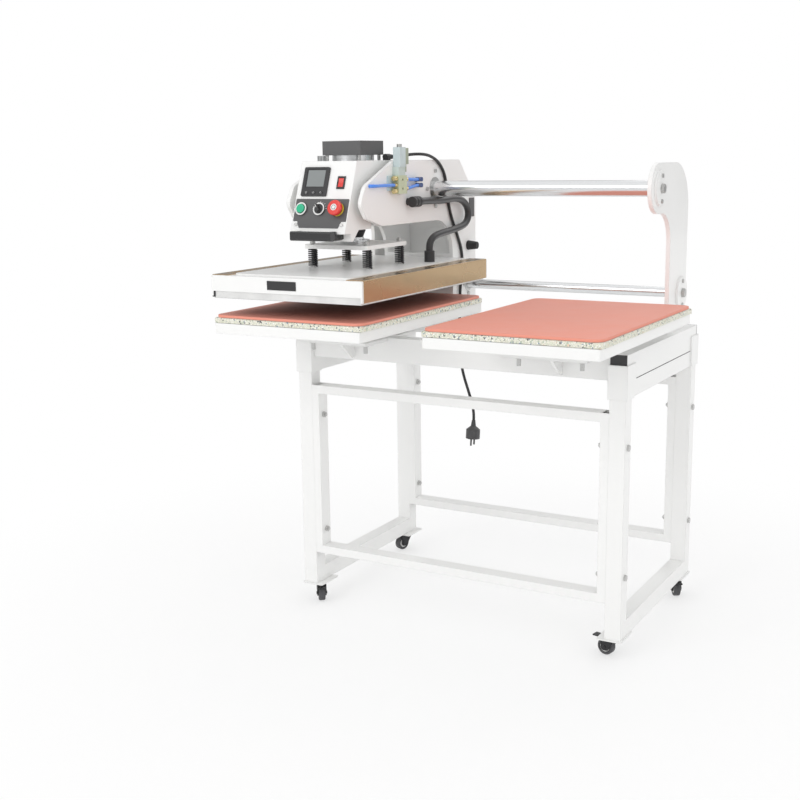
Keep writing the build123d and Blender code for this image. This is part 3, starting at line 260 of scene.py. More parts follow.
foam = {
    "chips": [(0.0, (0.88, 0.87, 0.74)), (0.28, (0.80, 0.83, 0.68)), (0.42, (0.95, 0.94, 0.86)),
              (0.62, (0.50, 0.58, 0.46)), (0.68, (0.92, 0.90, 0.78)), (0.80, (0.28, 0.36, 0.46)),
              (0.85, (0.96, 0.95, 0.90)), (0.91, (0.08, 0.09, 0.11)), (0.965, (0.84, 0.66, 0.50))],
    "ground": (0.64, 0.63, 0.52),
    "chipScale": 290.0,
    "chipEdge": 6.0,
    "wobbleScale": 160.0,
    "wobble": (0.004, 0.004, 0.004),
    "grainScale": 1400.0,
    "rough": 0.95,
    "sheen": 0.2,
    "chipBump": (0.45, 0.001),
    "grainBump": (0.5, 0.0006),
}


def buildFlecks():
    # chopped foam: cells of mixed colours in a pale ground
    group, start, end = newGroup(
        "foamFlecks", {"Scale": 190.0}, {"Color": "Color", "Edge": "Float"})
    where = ownPlace(group)
    wobble = addNode(group, "ShaderNodeTexNoise")
    wobble.inputs["Scale"].default_value = foam["wobbleScale"]
    group.links.new(where, wobble.inputs["Vector"])
    where = vectorNode(group, "MULTIPLY_ADD", wobble.outputs["Color"], foam["wobble"], where)[0]
    cells, edges = (addNode(group, "ShaderNodeTexVoronoi", feature=feature)
                    for feature in ("F1", "DISTANCE_TO_EDGE"))
    for node in (cells, edges):
        group.links.new(where, node.inputs["Vector"])
        group.links.new(start.outputs["Scale"], node.inputs["Scale"])
    split = addNode(group, "ShaderNodeSeparateColor")
    group.links.new(cells.outputs["Color"], split.inputs[0])
    ramp = addNode(group, "ShaderNodeValToRGB")
    ramp.color_ramp.interpolation = "CONSTANT"
    steps = ramp.color_ramp.elements
    # a new ramp has two steps of its own
    steps[1].position = foam["chips"][1][0]
    for index, (position, color) in enumerate(foam["chips"]):
        step = steps[index] if index < 2 else steps.new(position)
        step.color = (*color, 1)
    group.links.new(split.outputs[0], ramp.inputs[0])
    edge = mathNode(group, "MULTIPLY", edges.outputs["Distance"], foam["chipEdge"], clamp=True)
    group.links.new(ramp.outputs["Color"], end.inputs["Color"])
    group.links.new(edge, end.inputs["Edge"])
    return group


def buildBoxMask():
    # 1 inside a box of the press, 0 outside
    group, start, end = newGroup(
        "boxMask", {"Low": (0.0, 0.0, 0.0), "High": (1.0, 1.0, 1.0)}, {"Mask": "Float"})
    where = ownPlace(group)
    fromLow = vectorNode(group, "SUBTRACT", where, start.outputs["Low"])[0]
    fromHigh = vectorNode(group, "SUBTRACT", start.outputs["High"], where)[0]
    least = splitVector(group, vectorNode(group, "MINIMUM", fromLow, fromHigh)[0])
    lowest = mathNode(group, "MINIMUM", least["X"], least["Y"])
    lowest = mathNode(group, "MINIMUM", lowest, least["Z"])
    group.links.new(mathNode(group, "GREATER_THAN", lowest, 0.0), end.inputs["Mask"])
    return group


edgeWear = buildEdgeWear()
surfaceGrain = buildGrain()
brushedLines = buildBrushing()
settledDust = buildDust()
foamFlecks = buildFlecks()
boxMask = buildBoxMask()
print("stage: shader groups built")


# materials
def useGroup(tree, group, **values):
    node = addNode(tree, "ShaderNodeGroup", node_tree=group)
    for key, value in values.items():
        node.inputs[key.replace("_", " ")].default_value = value
    return node


def startMaterial(name):
    material = bpy.data.materials.new(name)
    material.use_nodes = True
    tree = material.node_tree
    return material, tree, tree.nodes["Principled BSDF"]


def bumpFrom(tree, height, strength, distance, normal=None):
    bump = addNode(tree, "ShaderNodeBump")
    bump.inputs["Strength"].default_value = strength
    bump.inputs["Distance"].default_value = distance
    tree.links.new(height, bump.inputs["Height"])
    if normal is not None:
        tree.links.new(normal, bump.inputs["Normal"])
    return bump.outputs["Normal"]


def dimmed(color, share):
    return tuple(channel * (1 - share) for channel in color)


def brightened(color, gain, lift):
    return tuple(min(1.0, channel * gain + lift) for channel in color)


def coated(name, color, worn=None, rough=(0.3, 0.42), tint=0.05, grain=(900.0, 0.08, 0.0002),
           edge=(0.0012, 90.0, 0.3), dust=0.1, metallic=0.0, coat=0.0, slowScale=5.0):
    # paint, plastic and rubber: grain, slow tone changes, worn edges and a little dust;
    # grain is a scale, a strength and a height, and edge is a radius, a scale and an amount
    material, tree, shader = startMaterial(name)
    texture = useGroup(tree, surfaceGrain, Fine_Scale=grain[0], Slow_Scale=slowScale)
    wear = useGroup(tree, edgeWear, Radius=edge[0], Noise_Scale=edge[1], Amount=edge[2])
    powder = useGroup(tree, settledDust, Amount=dust)
    tone = mixColor(tree, texture.outputs["Slow"], dimmed(color, tint), color)
    tone = mixColor(tree, wear.outputs["Mask"], tone, worn or brightened(color, *wearing["paint"]))
    tone = mixColor(tree, powder.outputs["Mask"], tone, dusting["color"])
    tree.links.new(tone, shader.inputs["Base Color"])
    tree.links.new(mapRange(tree, texture.outputs["Slow"], *rough), shader.inputs["Roughness"])
    normal = bumpFrom(tree, texture.outputs["Height"], grain[1], grain[2], wear.outputs["Normal"])
    tree.links.new(normal, shader.inputs["Normal"])
    shader.inputs["Metallic"].default_value = metallic
    shader.inputs["Coat Weight"].default_value = coat
    return material


def bareMetal(name, color, rough=(0.15, 0.3), stretch=(1, 1, 1), scale=300.0, strength=0.12,
              tint=0.15, edge=(0.0006, 150.0, 0.5)):
    # metal with brushing along one axis
    material, tree, shader = startMaterial(name)
    lines = useGroup(tree, brushedLines, Stretch=stretch, Scale=scale).outputs["Lines"]
    wear = useGroup(tree, edgeWear, Radius=edge[0], Noise_Scale=edge[1], Amount=edge[2])
    tone = mixColor(tree, lines, dimmed(color, tint), color)
    tone = mixColor(tree, wear.outputs["Mask"], tone, brightened(color, *wearing["metal"]))
    tree.links.new(tone, shader.inputs["Base Color"])
    tree.links.new(mapRange(tree, lines, *rough), shader.inputs["Roughness"])
    normal = bumpFrom(tree, lines, strength, brushing["height"], wear.outputs["Normal"])
    tree.links.new(normal, shader.inputs["Normal"])
    shader.inputs["Metallic"].default_value = 1.0
    return material


# boxes of the press in which a piece has a part of another colour
partBoxes = {
    "valveBracket": (above(-0.169, -0.021, 0.270), above(-0.162, 0.003, 0.312)),
    "tubeCollars": (above(-0.169, 0.105, 0.270), above(-0.140, 0.131, 0.320)),
    "airPort": (above(-0.345, -0.070, 0.340), above(-0.310, -0.035, 0.362)),
    "valveTop": (above(-0.169, 0.000, 0.3112), above(-0.140, 0.050, 0.335)),
    "coilPlug": (above(-0.169, 0.0382, 0.310), above(-0.140, 0.060, 0.380)),
    "coilNut": (above(-0.169, 0.000, 0.3772), above(-0.140, 0.037, 0.390)),
    "plateEdge": (above(-0.6, -0.4, 0.0404), above(0.0, 0.4, 0.070)),
    "rodDisc": (above(-0.310, -0.040, 0.1652), above(-0.230, 0.040, 0.1822)),
}
mixed = {
    "grain": (900.0, 0.08, 0.0002),
    "slowScale": 20.0,
    "edge": {"Radius": 0.0006, "Noise_Scale": 150.0, "Amount": 0.35},
    "worn": (0.75, 0.74, 0.70),
    "tint": 0.15,
    "roughSpread": 0.08,
}


def inParts(name, color, metallic, rough, *parts):
    # one piece whose parts, each inside a box of the press, have their own colours
    material, tree, shader = startMaterial(name)
    scale, strength, height = mixed["grain"]
    texture = useGroup(tree, surfaceGrain, Fine_Scale=scale, Slow_Scale=mixed["slowScale"])
    wear = useGroup(tree, edgeWear, **mixed["edge"])
    tone, metal, gloss = color, metallic, rough
    for box, partColor, partMetal, partRough in parts:
        low, high = partBoxes[box]
        inside = useGroup(tree, boxMask, Low=low, High=high).outputs["Mask"]
        tone = mixColor(tree, inside, tone, partColor)
        metal = mixValue(tree, inside, metal, partMetal)
        gloss = mixValue(tree, inside, gloss, partRough)
    shade = mapRange(tree, texture.outputs["Slow"], 1 - mixed["tint"], 1.0)
    tone = mixColor(tree, 1.0, tone, shade, "MULTIPLY")
    tone = mixColor(tree, wear.outputs["Mask"], tone, mixed["worn"])
    tree.links.new(tone, shader.inputs["Base Color"])
    tree.links.new(metal, shader.inputs["Metallic"])
    spread = mathNode(tree, "MULTIPLY", texture.outputs["Slow"], mixed["roughSpread"])
    tree.links.new(mathNode(tree, "ADD", gloss, spread), shader.inputs["Roughness"])
    normal = bumpFrom(tree, texture.outputs["Height"], strength, height, wear.outputs["Normal"])
    tree.links.new(normal, shader.inputs["Normal"])
    return material


def chippedFoam(name):
    material, tree, shader = startMaterial(name)
    flecks = useGroup(tree, foamFlecks, Scale=foam["chipScale"])
    texture = useGroup(tree, surfaceGrain, Fine_Scale=foam["grainScale"])
    tone = mixColor(tree, flecks.outputs["Edge"], foam["ground"], flecks.outputs["Color"])
    tree.links.new(tone, shader.inputs["Base Color"])
    shader.inputs["Roughness"].default_value = foam["rough"]
    shader.inputs["Sheen Weight"].default_value = foam["sheen"]
    chips = bumpFrom(tree, flecks.outputs["Edge"], *foam["chipBump"])
    crumbs = bumpFrom(tree, texture.outputs["Height"], *foam["grainBump"], chips)
    tree.links.new(crumbs, shader.inputs["Normal"])
    return material


finish = {
    "whitePaint": coated(
        "whitePaint", (0.90, 0.90, 0.89), worn=(0.70, 0.69, 0.67), rough=(0.28, 0.4), tint=0.02,
        edge=(0.0016, 70.0, 0.16), dust=0.04, coat=0.15),
    "zincSteel": bareMetal(
        "zincSteel", (0.66, 0.66, 0.65), rough=(0.25, 0.42), scale=500.0, tint=0.25),
    "chrome": bareMetal(
        "hardChrome", (0.78, 0.79, 0.80), rough=(0.19, 0.23), stretch=(1, 0.05, 0.05),
        strength=0.0, tint=0.04, edge=(0.0002, 200.0, 0.0)),
    "blackPlastic": coated(
        "blackPlastic", (0.035, 0.035, 0.037), rough=(0.35, 0.5), tint=0.2,
        grain=(1500.0, 0.15, 0.0002), edge=(0.001, 120.0, 0.25), dust=0.05),
    "blackRubber": coated(
        "blackRubber", (0.030, 0.030, 0.031), rough=(0.45, 0.62), tint=0.25,
        grain=(1200.0, 0.2, 0.0003), edge=(0.001, 120.0, 0.2)),
    "redSilicone": coated(
        "redSilicone", (0.845, 0.311, 0.228), worn=(0.88, 0.42, 0.34), rough=(0.5, 0.62), tint=0.06,
        grain=(2200.0, 0.12, 0.0002), edge=(0.0015, 60.0, 0.4), slowScale=9.0),
    "aluminium": bareMetal(
        "aluminium", (0.88, 0.89, 0.90), rough=(0.26, 0.32), stretch=(1, 1, 0.03), scale=90.0,
        strength=0.0, tint=0.04, edge=(0.0004, 150.0, 0.2)),
    "bronzeSheet": bareMetal(
        "bronzeSheet", (0.63, 0.45, 0.26), rough=(0.18, 0.32), stretch=(1, 0.5, 1), scale=14.0,
        strength=0.0, tint=0.26, edge=(0.001, 80.0, 0.15)),
    "darkCap": coated(
        "darkCap", (0.135, 0.135, 0.137), rough=(0.35, 0.5), tint=0.12, edge=(0.001, 100.0, 0.4),
        dust=0.12, metallic=0.3),
    "panelFilm": coated(
        "panelFilm", (0.105, 0.105, 0.107), rough=(0.4, 0.5), edge=(0.0005, 100.0, 0.2), dust=0.05),
    "switchRed": coated(
        "switchRed", (0.78, 0.045, 0.035), rough=(0.12, 0.2), tint=0.08, edge=(0.0008, 90.0, 0.2),
        dust=0.03, coat=0.4),
    "buttonGreen": coated(
        "buttonGreen", (0.03, 0.50, 0.27), rough=(0.12, 0.2), tint=0.08, edge=(0.0008, 90.0, 0.2),
        dust=0.03, coat=0.4),
    "tubeBlue": coated(
        "tubeBlue", (0.07, 0.26, 0.85), rough=(0.18, 0.28), tint=0.08, edge=(0.0004, 90.0, 0.0),
        dust=0.03, coat=0.3),
    "blackSteel": coated(
        "blackSteel", (0.035, 0.035, 0.038), worn=(0.35, 0.35, 0.35), rough=(0.3, 0.45), tint=0.2,
        edge=(0.0006, 140.0, 0.5), dust=0.06, metallic=0.5),
    "tyre": coated(
        "casterTyre", (0.085, 0.085, 0.09), rough=(0.5, 0.65), tint=0.2,
        grain=(1200.0, 0.3, 0.0004), edge=(0.001, 120.0, 0.4), dust=0.15),
    "hubGrey": coated(
        "hubGrey", (0.72, 0.72, 0.71), rough=(0.35, 0.5), tint=0.1, edge=(0.0006, 120.0, 0.3)),
    "cordSheath": coated(
        "cordSheath", (0.028, 0.028, 0.030), rough=(0.4, 0.52), tint=0.15,
        grain=(1800.0, 0.12, 0.0002), edge=(0.0004, 90.0, 0.0), dust=0.05),
    "conduitSheath": coated(
        "conduitSheath", (0.032, 0.032, 0.034), rough=(0.25, 0.38), tint=0.15,
        grain=(700.0, 0.1, 0.0003), edge=(0.0004, 90.0, 0.0), dust=0.08, coat=0.2),
    "screenGlass": coated(
        "screenGlass", (0.26, 0.28, 0.28), rough=(0.06, 0.1), tint=0.1, edge=(0.0004, 90.0, 0.0),
        dust=0.02, coat=0.6),
    "stopYellow": coated(
        "stopYellow", (0.85, 0.62, 0.05), rough=(0.25, 0.35), tint=0.06, edge=(0.0006, 90.0, 0.3),
        dust=0.05),
    "ringWhite": coated(
        "ringWhite", (0.85, 0.85, 0.84), rough=(0.3, 0.4), tint=0.04, edge=(0.0004, 90.0, 0.1),
        dust=0.03),
    "foam": chippedFoam("rebondFoam"),
    "fittings": inParts(
        "pushInFittings", (0.80, 0.66, 0.34), 1.0, 0.22,
        ("valveBracket", (0.60, 0.74, 0.76), 0.0, 0.3),
        ("tubeCollars", (0.045, 0.085, 0.24), 0.0, 0.25),
        ("airPort", (0.55, 0.56, 0.56), 1.0, 0.25)),
    "valve": inParts(
        "valveBlock", (0.60, 0.66, 0.46), 0.0, 0.3, ("valveTop", (0.62, 0.72, 0.68), 0.0, 0.3)),
    "coil": inParts(
        "solenoidShell", (0.60, 0.70, 0.71), 0.0, 0.35,
        ("coilPlug", (0.42, 0.47, 0.36), 0.2, 0.3),
        ("coilNut", (0.60, 0.60, 0.58), 1.0, 0.3)),
    "heatingPlate": inParts(
        "heatingPlateFaces", (0.045, 0.045, 0.05), 0.0, 0.4,
        ("plateEdge", (0.84, 0.84, 0.83), 0.3, 0.35)),
    "rod": inParts(
        "pistonRodSteel", (0.80, 0.81, 0.82), 1.0, 0.12,
        ("rodDisc", (0.03, 0.03, 0.032), 0.0, 0.35)),
    "gripBlack": coated(
        "gripBlack", (0.022, 0.022, 0.024), rough=(0.16, 0.26), tint=0.15,
        grain=(1500.0, 0.06, 0.0002), edge=(0.001, 120.0, 0.2), dust=0.04, coat=0.35),
    "plugPlastic": coated(
        "plugPlastic", (0.075, 0.075, 0.077), rough=(0.3, 0.45), tint=0.15,
        grain=(1500.0, 0.12, 0.0002), edge=(0.001, 120.0, 0.2), dust=0.06),
    "shadowBlack": coated(
        "shadowBlack", (0.02, 0.02, 0.02), rough=(0.6, 0.7), tint=0.1, edge=(0.0003, 90.0, 0.0),
        dust=0.02),
    "blackSpring": coated(
        "blackSpring", (0.022, 0.022, 0.024), worn=(0.20, 0.20, 0.20), rough=(0.25, 0.4), tint=0.2,
        edge=(0.0001, 140.0, 0.0), dust=0.0),
}
print("stage:", len(finish), "finishes mixed")

nodeFinish = {
    "whitePaint": ["side_frame_left", "side_frame_right", "cross_frame_front", "cross_frame_rear",
                   "base_frame", "caster_plates", "platen_brackets", "platen_trays",
                   "end_plate_left", "end_plate_right", "arm_plates", "arm_cross_plates",
                   "console_housing", "platen_cover", "pressure_plate"],
    "zincSteel": ["leg_bolts", "levelling_studs", "hub_bolts", "carriage_screws", "tie_rods",
                  "spring_bolts", "bearing_housings"],
    "chrome": ["upper_shaft", "lower_shaft"],
    "rod": ["piston_rod"],
    "blackPlastic": ["tube_plugs", "temperature_controller", "power_switch_frame", "glands",
                     "lower_conduit_coupling", "mode_selector"],
    "gripBlack": ["pull_handle"],
    "blackRubber": ["bumpers", "conduit", "power_cord"],
    "plugPlastic": ["mains_plug"],
    "redSilicone": ["silicone_pads"],
    "foam": ["platen_foams"],
    "aluminium": ["cylinder_barrel"],
    "heatingPlate": ["heating_plate"],
    "bronzeSheet": ["side_covers"],
    "darkCap": ["cylinder_caps"],
    "panelFilm": ["control_overlay"],
    "switchRed": ["power_rocker", "emergency_stop"],
    "buttonGreen": ["start_button"],
    "valve": ["valve_body"],
    "coil": ["solenoid_coil"],
    "fittings": ["valve_fittings"],
    "tubeBlue": ["air_tubes"],
    "blackSteel": ["springs"] + ["caster_fork_" + corner for corner in corners],
    "tyre": ["caster_wheel_" + corner for corner in corners],
}


def paintNodes():
    for key, names in nodeFinish.items():
        for name in names:
            mesh = nodes[name].data
            mesh.materials.clear()
            mesh.materials.append(finish[key])


paintNodes()
print("stage: CAD nodes painted")


# modelling helpers
facing = 0.9        # a normal with more than this along an axis looks along it


def deselect():
    if bpy.context.object and bpy.context.object.mode != "OBJECT":
        bpy.ops.object.mode_set(mode="OBJECT")
    bpy.ops.object.select_all(action="DESELECT")


def pick(obj):
    deselect()
    obj.select_set(True)
    bpy.context.view_layer.objects.active = obj


def newBlock(name, low, high):
    deselect()
    middle = (Vector(low) + Vector(high)) / 2
    bpy.ops.mesh.primitive_cube_add(size=1, location=middle)
    obj = bpy.context.object
    obj.name = name
    obj.scale = Vector(high) - Vector(low)
    bpy.ops.object.transform_apply(location=True, rotation=True, scale=True)
    return obj


def startEditing(obj, mode=None):
    # a mode means that nothing is selected, and no mode that everything is
    pick(obj)
    bpy.ops.object.mode_set(mode="EDIT")
    if mode:
        bpy.ops.mesh.select_mode(type=mode)
    bpy.ops.mesh.select_all(action="DESELECT" if mode else "SELECT")


def stopEditing():
    bpy.ops.object.mode_set(mode="OBJECT")


def selectEdges(obj, test):
    # leaves edit mode on, with the edges that pass selected
    startEditing(obj, "EDGE")
    shape = bmesh.from_edit_mesh(obj.data)
    for edge in shape.edges:
        if test(*(vertex.co for vertex in edge.verts)):
            edge.select = True
    shape.select_flush_mode()
    bmesh.update_edit_mesh(obj.data)


def selectFaces(obj, test):
    # leaves edit mode on, with the faces that pass selected
    startEditing(obj, "FACE")
    shape = bmesh.from_edit_mesh(obj.data)
    for face in shape.faces:
        if test(face.calc_center_median(), face.normal):
            face.select = True
    shape.select_flush_mode()
    bmesh.update_edit_mesh(obj.data)


def bevelSelected(width, segments):
    bpy.ops.mesh.bevel(offset=width, segments=segments, affect="EDGES")
    stopEditing()


def roundOff(obj, width, segments=2):
    pick(obj)
    rounding = obj.modifiers.new("rounding", "BEVEL")
    rounding.width = width
    rounding.segments = segments
    rounding.limit_method = "ANGLE"
    bpy.ops.object.modifier_apply(modifier=rounding.name)


def smooth(obj, angle=35):
    pick(obj)
    bpy.ops.object.shade_smooth_by_angle(angle=math.radians(angle))


def join(name, pieces):
    deselect()
    for piece in pieces:
        piece.select_set(True)
    bpy.context.view_layer.objects.active = pieces[0]
    bpy.ops.object.join()
    bpy.context.object.name = name
    return bpy.context.object


def settle(obj, body, key, replaced=()):
    # gives a finished piece its look, its body and the nodes that it stands for
    pick(obj)
    bpy.ops.object.transform_apply(location=True, rotation=True, scale=True)
    obj.data.materials.clear()
    obj.data.materials.append(finish[key])
    if replaced:
        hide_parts(*replaced)
    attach(obj, body)


def moveMesh(obj, matrix):
    # puts a piece in its place by its mesh, so that the object stays at the origin
    obj.data.transform(matrix)
    obj.data.update()


# camera
camera = {
    "position": (1.2734, -2.4755, 0.3512),   # in the drawing's own place, above the pads
    "azimuth": 29.93,
    "down": 11.49,
    "roll": -0.80,
    "focal": 1189.5,                         # in pixels of the picture's width
    "width": 800,
    "sensor": 36,
    "reach": 50,
}


def setCamera():
    data = bpy.data.cameras.new("studioCamera")
    data.lens = camera["focal"] / camera["width"] * camera["sensor"]
    data.sensor_width = camera["sensor"]
    data.clip_end = camera["reach"]
    obj = bpy.data.objects.new("studioCamera", data)
    bpy.context.scene.collection.objects.link(obj)
    turn = Matrix.Rotation(math.radians(camera["azimuth"]), 4, "Z")
    tilt = Matrix.Rotation(math.radians(90 - camera["down"]), 4, "X")
    roll = Matrix.Rotation(math.radians(camera["roll"]), 4, "Z")
    obj.matrix_world = Matrix.Translation(above(*camera["position"])) @ turn @ tilt @ roll
    bpy.context.scene.camera = obj


setCamera()

# power cord
powerCord = {
    "diameter": 0.0075,
    "length": 0.920,
    "route": [
        (-0.203, 0.053, 0.355), (-0.203, 0.074, 0.355), (-0.192, 0.102, 0.358),
        (-0.174, 0.130, 0.361), (-0.1636, 0.160, 0.360), (-0.1636, 0.192, 0.355),
        (-0.1636, 0.226, 0.344), (-0.1636, 0.256, 0.322), (-0.1636, 0.272, 0.294),
        (-0.1636, 0.283, 0.240), (-0.1636, 0.300, 0.200), (-0.1636, 0.333, 0.154),
        (-0.1636, 0.362, 0.108), (-0.1636, 0.363, 0.055), (-0.163, 0.348, 0.005),
        (-0.161, 0.342, -0.050), (-0.160, 0.338, -0.105), (-0.158, 0.335, -0.160),
        (-0.150, 0.336, -0.215), (-0.133, 0.339, -0.268), (-0.118, 0.341, -0.318),
        (-0.119, 0.340, -0.344),
    ],
    "relief": {"radius1": 0.0066, "radius2": 0.0043, "depth": 0.024},
    "reliefOut": 0.011,
    "reliefSides": 40,
    "reliefRound": 0.0006,
}


def newLine(name, route, diameter, resolution=8):
    # a round line along a smooth curve, which only touches the route's ends
    data = bpy.data.curves.new(name, "CURVE")
    data.dimensions = "3D"
    data.bevel_depth = diameter / 2
    data.bevel_resolution = 5
    data.resolution_u = resolution
    data.use_fill_caps = True
    spline = data.splines.new("NURBS")
    spline.points.add(len(route) - 1)
    for point, spot in zip(spline.points, route):
        point.co = (*above(*spot), 1)
    spline.order_u = 3
    spline.use_endpoint_u = True
    obj = bpy.data.objects.new(name, data)
    bpy.context.scene.collection.objects.link(obj)
    return obj


def makePowerCord():
    cord = newLine("powerCord", powerCord["route"], powerCord["diameter"])
    cord.data.materials.append(finish["cordSheath"])
    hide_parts("power_cord")
    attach(cord, "carriage")
    middle = above(*powerCord["route"][0]) + Vector((0, powerCord["reliefOut"], 0))
    deselect()
    bpy.ops.mesh.primitive_cone_add(vertices=powerCord["reliefSides"], location=middle,
                                    rotation=(-math.pi / 2, 0, 0), **powerCord["relief"])
    relief = bpy.context.object
    relief.name = "strainRelief"
    roundOff(relief, powerCord["reliefRound"])
    smooth(relief)
    settle(relief, "carriage", "blackRubber")


makePowerCord()
print("stage: camera and power cord")

# conduit
conduit = {
    "diameter": 0.018,
    "route": [
        (-0.150, 0.104, 0.247), (-0.150, 0.160, 0.247), (-0.150, 0.229, 0.245),
        (-0.150, 0.289, 0.249), (-0.150, 0.337, 0.243), (-0.150, 0.368, 0.223),
        (-0.150, 0.374, 0.197), (-0.150, 0.353, 0.178), (-0.150, 0.309, 0.171),
        (-0.150, 0.256, 0.166), (-0.150, 0.213, 0.163), (-0.150, 0.181, 0.158),
        (-0.150, 0.162, 0.148), (-0.150, 0.155, 0.136), (-0.150, 0.155, 0.124),
    ],
    "resolution": 10,
    "foot": (-0.150, 0.155),
    "bendFrom": 0.236,
    "bendTo": 0.130,
}


def makeConduit():
    line = newLine("conduitLine", conduit["route"], conduit["diameter"], conduit["resolution"])
    pick(line)
    bpy.ops.object.convert(target="MESH")
    tube = bpy.context.object
    tube.name = "conduitTube"
    smooth(tube, angle=60)
    tube.data.materials.clear()
    tube.data.materials.append(finish["conduitSheath"])
    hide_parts("conduit")
    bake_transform(tube)


makeConduit()
print("stage: conduit")

# lower platens: silicone sheets on foam
padding = {
    "siliconeSize": (0.400, 0.600, 0.006),
    "siliconeCorner": (0.022, 8),
    "siliconeEdge": (0.0016, 3),
    "foamSize": (0.410, 0.604),
    "foamLevels": (-0.019, -0.006),
    "foamCorner": (0.012, 4),
    "foamInset": 0.004,
    "foamRough": 0.0011,
    "foamLess": 0.0004,          # room for the foam's rough sides
    "gap": 0.0001,
    "voxel": 0.0031,
    "crumb": 0.008,
    "crumbLevel": 0.8,
    "upright": 0.003,            # an edge that rises more than this is a corner's
    "topEdge": 0.0005,
}


def isUpright(first, second):
    return abs(first.z - second.z) > padding["upright"]


def makeSilicone(name, x):
    width, length, thick = padding["siliconeSize"]
    corner = above(x - width / 2, -length / 2, -thick + padding["gap"])
    sheet = newBlock(name, corner, corner + Vector((width, length, thick - padding["gap"])))
    selectEdges(sheet, isUpright)
    bevelSelected(*padding["siliconeCorner"])
    top = above(0, 0, 0).z - padding["topEdge"]
    selectEdges(sheet, lambda first, second: first.z > top and second.z > top)
    bevelSelected(*padding["siliconeEdge"])
    smooth(sheet, angle=40)
    settle(sheet, "stand", "redSilicone", ["silicone_pads"])


def makeFoam(name, x):
    width, length = padding["foamSize"]
    foot, top = padding["foamLevels"]
    less, gap = padding["foamLess"], padding["gap"]
    slab = newBlock(name, above(x - width / 2 + less, -length / 2 + less, foot + gap),
                    above(x + width / 2 - less, length / 2 - less, top - gap))
    selectEdges(slab, isUpright)
    bevelSelected(*padding["foamCorner"])
    startEditing(slab)
    bpy.ops.mesh.inset(thickness=padding["foamInset"])
    stopEditing()
    remesh = slab.modifiers.new("even", "REMESH")
    remesh.mode = "VOXEL"
    remesh.voxel_size = padding["voxel"]
    bpy.ops.object.modifier_apply(modifier=remesh.name)
    crumbs = bpy.data.textures.new(name + "Crumbs", "CLOUDS")
    crumbs.noise_scale = padding["crumb"]
    crumbs.noise_depth = 1
    rough = slab.modifiers.new("crumbs", "DISPLACE")
    rough.texture = crumbs
    rough.texture_coords = "GLOBAL"
    rough.strength = padding["foamRough"]
    rough.mid_level = padding["crumbLevel"]
    bpy.ops.object.modifier_apply(modifier=rough.name)
    smooth(slab, angle=50)
    settle(slab, "stand", "foam", ["platen_foams"])


for side, x in (("Left", press["leftPad"]), ("Right", press["rightPad"])):
    makeSilicone("siliconeSheet" + side, x)
    makeFoam("foamLayer" + side, x)
print("stage: lower platens padded")

# coil springs under the pressure plate
spring = {
    "outer": 0.012,
    "wire": 0.0034,
    "wireSides": 16,
    "turns": 9,
    "steps": 240,
    "foot": 0.096,
    "top": 0.141,
    "offset": (0.077, 0.076),
    "middle": 0.006,
    "stroke": 0.008,
}


def makeSpring():
    # a ring of wire swept up by the screw modifier
    radius = spring["wire"] / 2
    height = spring["top"] - spring["foot"] - spring["wire"]
    deselect()
    bpy.ops.mesh.primitive_circle_add(vertices=spring["wireSides"], radius=radius,
                                      location=(spring["outer"] - radius, 0, radius),
                                      rotation=(math.pi / 2, 0, 0))
    coil = bpy.context.object
    bpy.ops.object.transform_apply(location=True, rotation=True, scale=True)
    screw = coil.modifiers.new("winding", "SCREW")
    screw.angle = spring["turns"] * 2 * math.pi
    screw.screw_offset = height
    screw.steps = screw.render_steps = spring["steps"]
    bpy.ops.object.modifier_apply(modifier=screw.name)
    startEditing(coil)
    bpy.ops.mesh.fill_holes(sides=0)
    bpy.ops.mesh.select_all(action="SELECT")
    bpy.ops.mesh.normals_make_consistent(inside=False)
    stopEditing()
    smooth(coil, angle=60)
    return coil


def makeSprings():
    places = [(x, y) for x in (-1, 1) for y in (-1, 1)]
    coils = [makeSpring()]
    while len(coils) < len(places):
        pick(coils[0])
        bpy.ops.object.duplicate()
        coils.append(bpy.context.object)
    alongX, alongY = spring["offset"]
    for index, (coil, (x, y)) in enumerate(zip(coils, places)):
        coil.name = "coilSpring" + str(index + 1)
        spot = above(press["head"] + x * alongX, spring["middle"] + y * alongY, spring["foot"])
        moveMesh(coil, Matrix.Translation(spot))
        settle(coil, "heating_head", "blackSpring", ["springs"])
        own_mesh(coil)


makeSprings()
print("stage: springs wound")

# sloping panel of the console
panel = {
    "topEdge": (-0.105, 0.347),
    "footEdge": (-0.165, 0.182),
}


def panelMatrix(u, v, out=0.0):
    top = Vector((0, *panel["topEdge"]))
    foot = Vector((0, *panel["footEdge"]))
    upward = (top - foot).normalized()
    across = Vector((1, 0, 0))
    normal = across.cross(upward)
    centre = above(press["head"], 0, 0) + (top + foot) / 2 + across * u + upward * v + normal * out
    return Matrix((
        (across.x, upward.x, normal.x, centre.x),
        (across.y, upward.y, normal.y, centre.y),
        (across.z, upward.z, normal.z, centre.z),
        (0, 0, 0, 1),
    ))


controls = {
    "row": -0.029,
    "start": -0.054,
    "selector": -0.004,
    "stop": 0.046,
    "collarTop": 0.005,
    "overlayTop": 0.001,
    "screen": (-0.027, 0.045),
    "keyStep": 0.020,
    "keyRow": 0.010,
    "keyTop": 0.0054,
    "capTop": 0.0200,
}
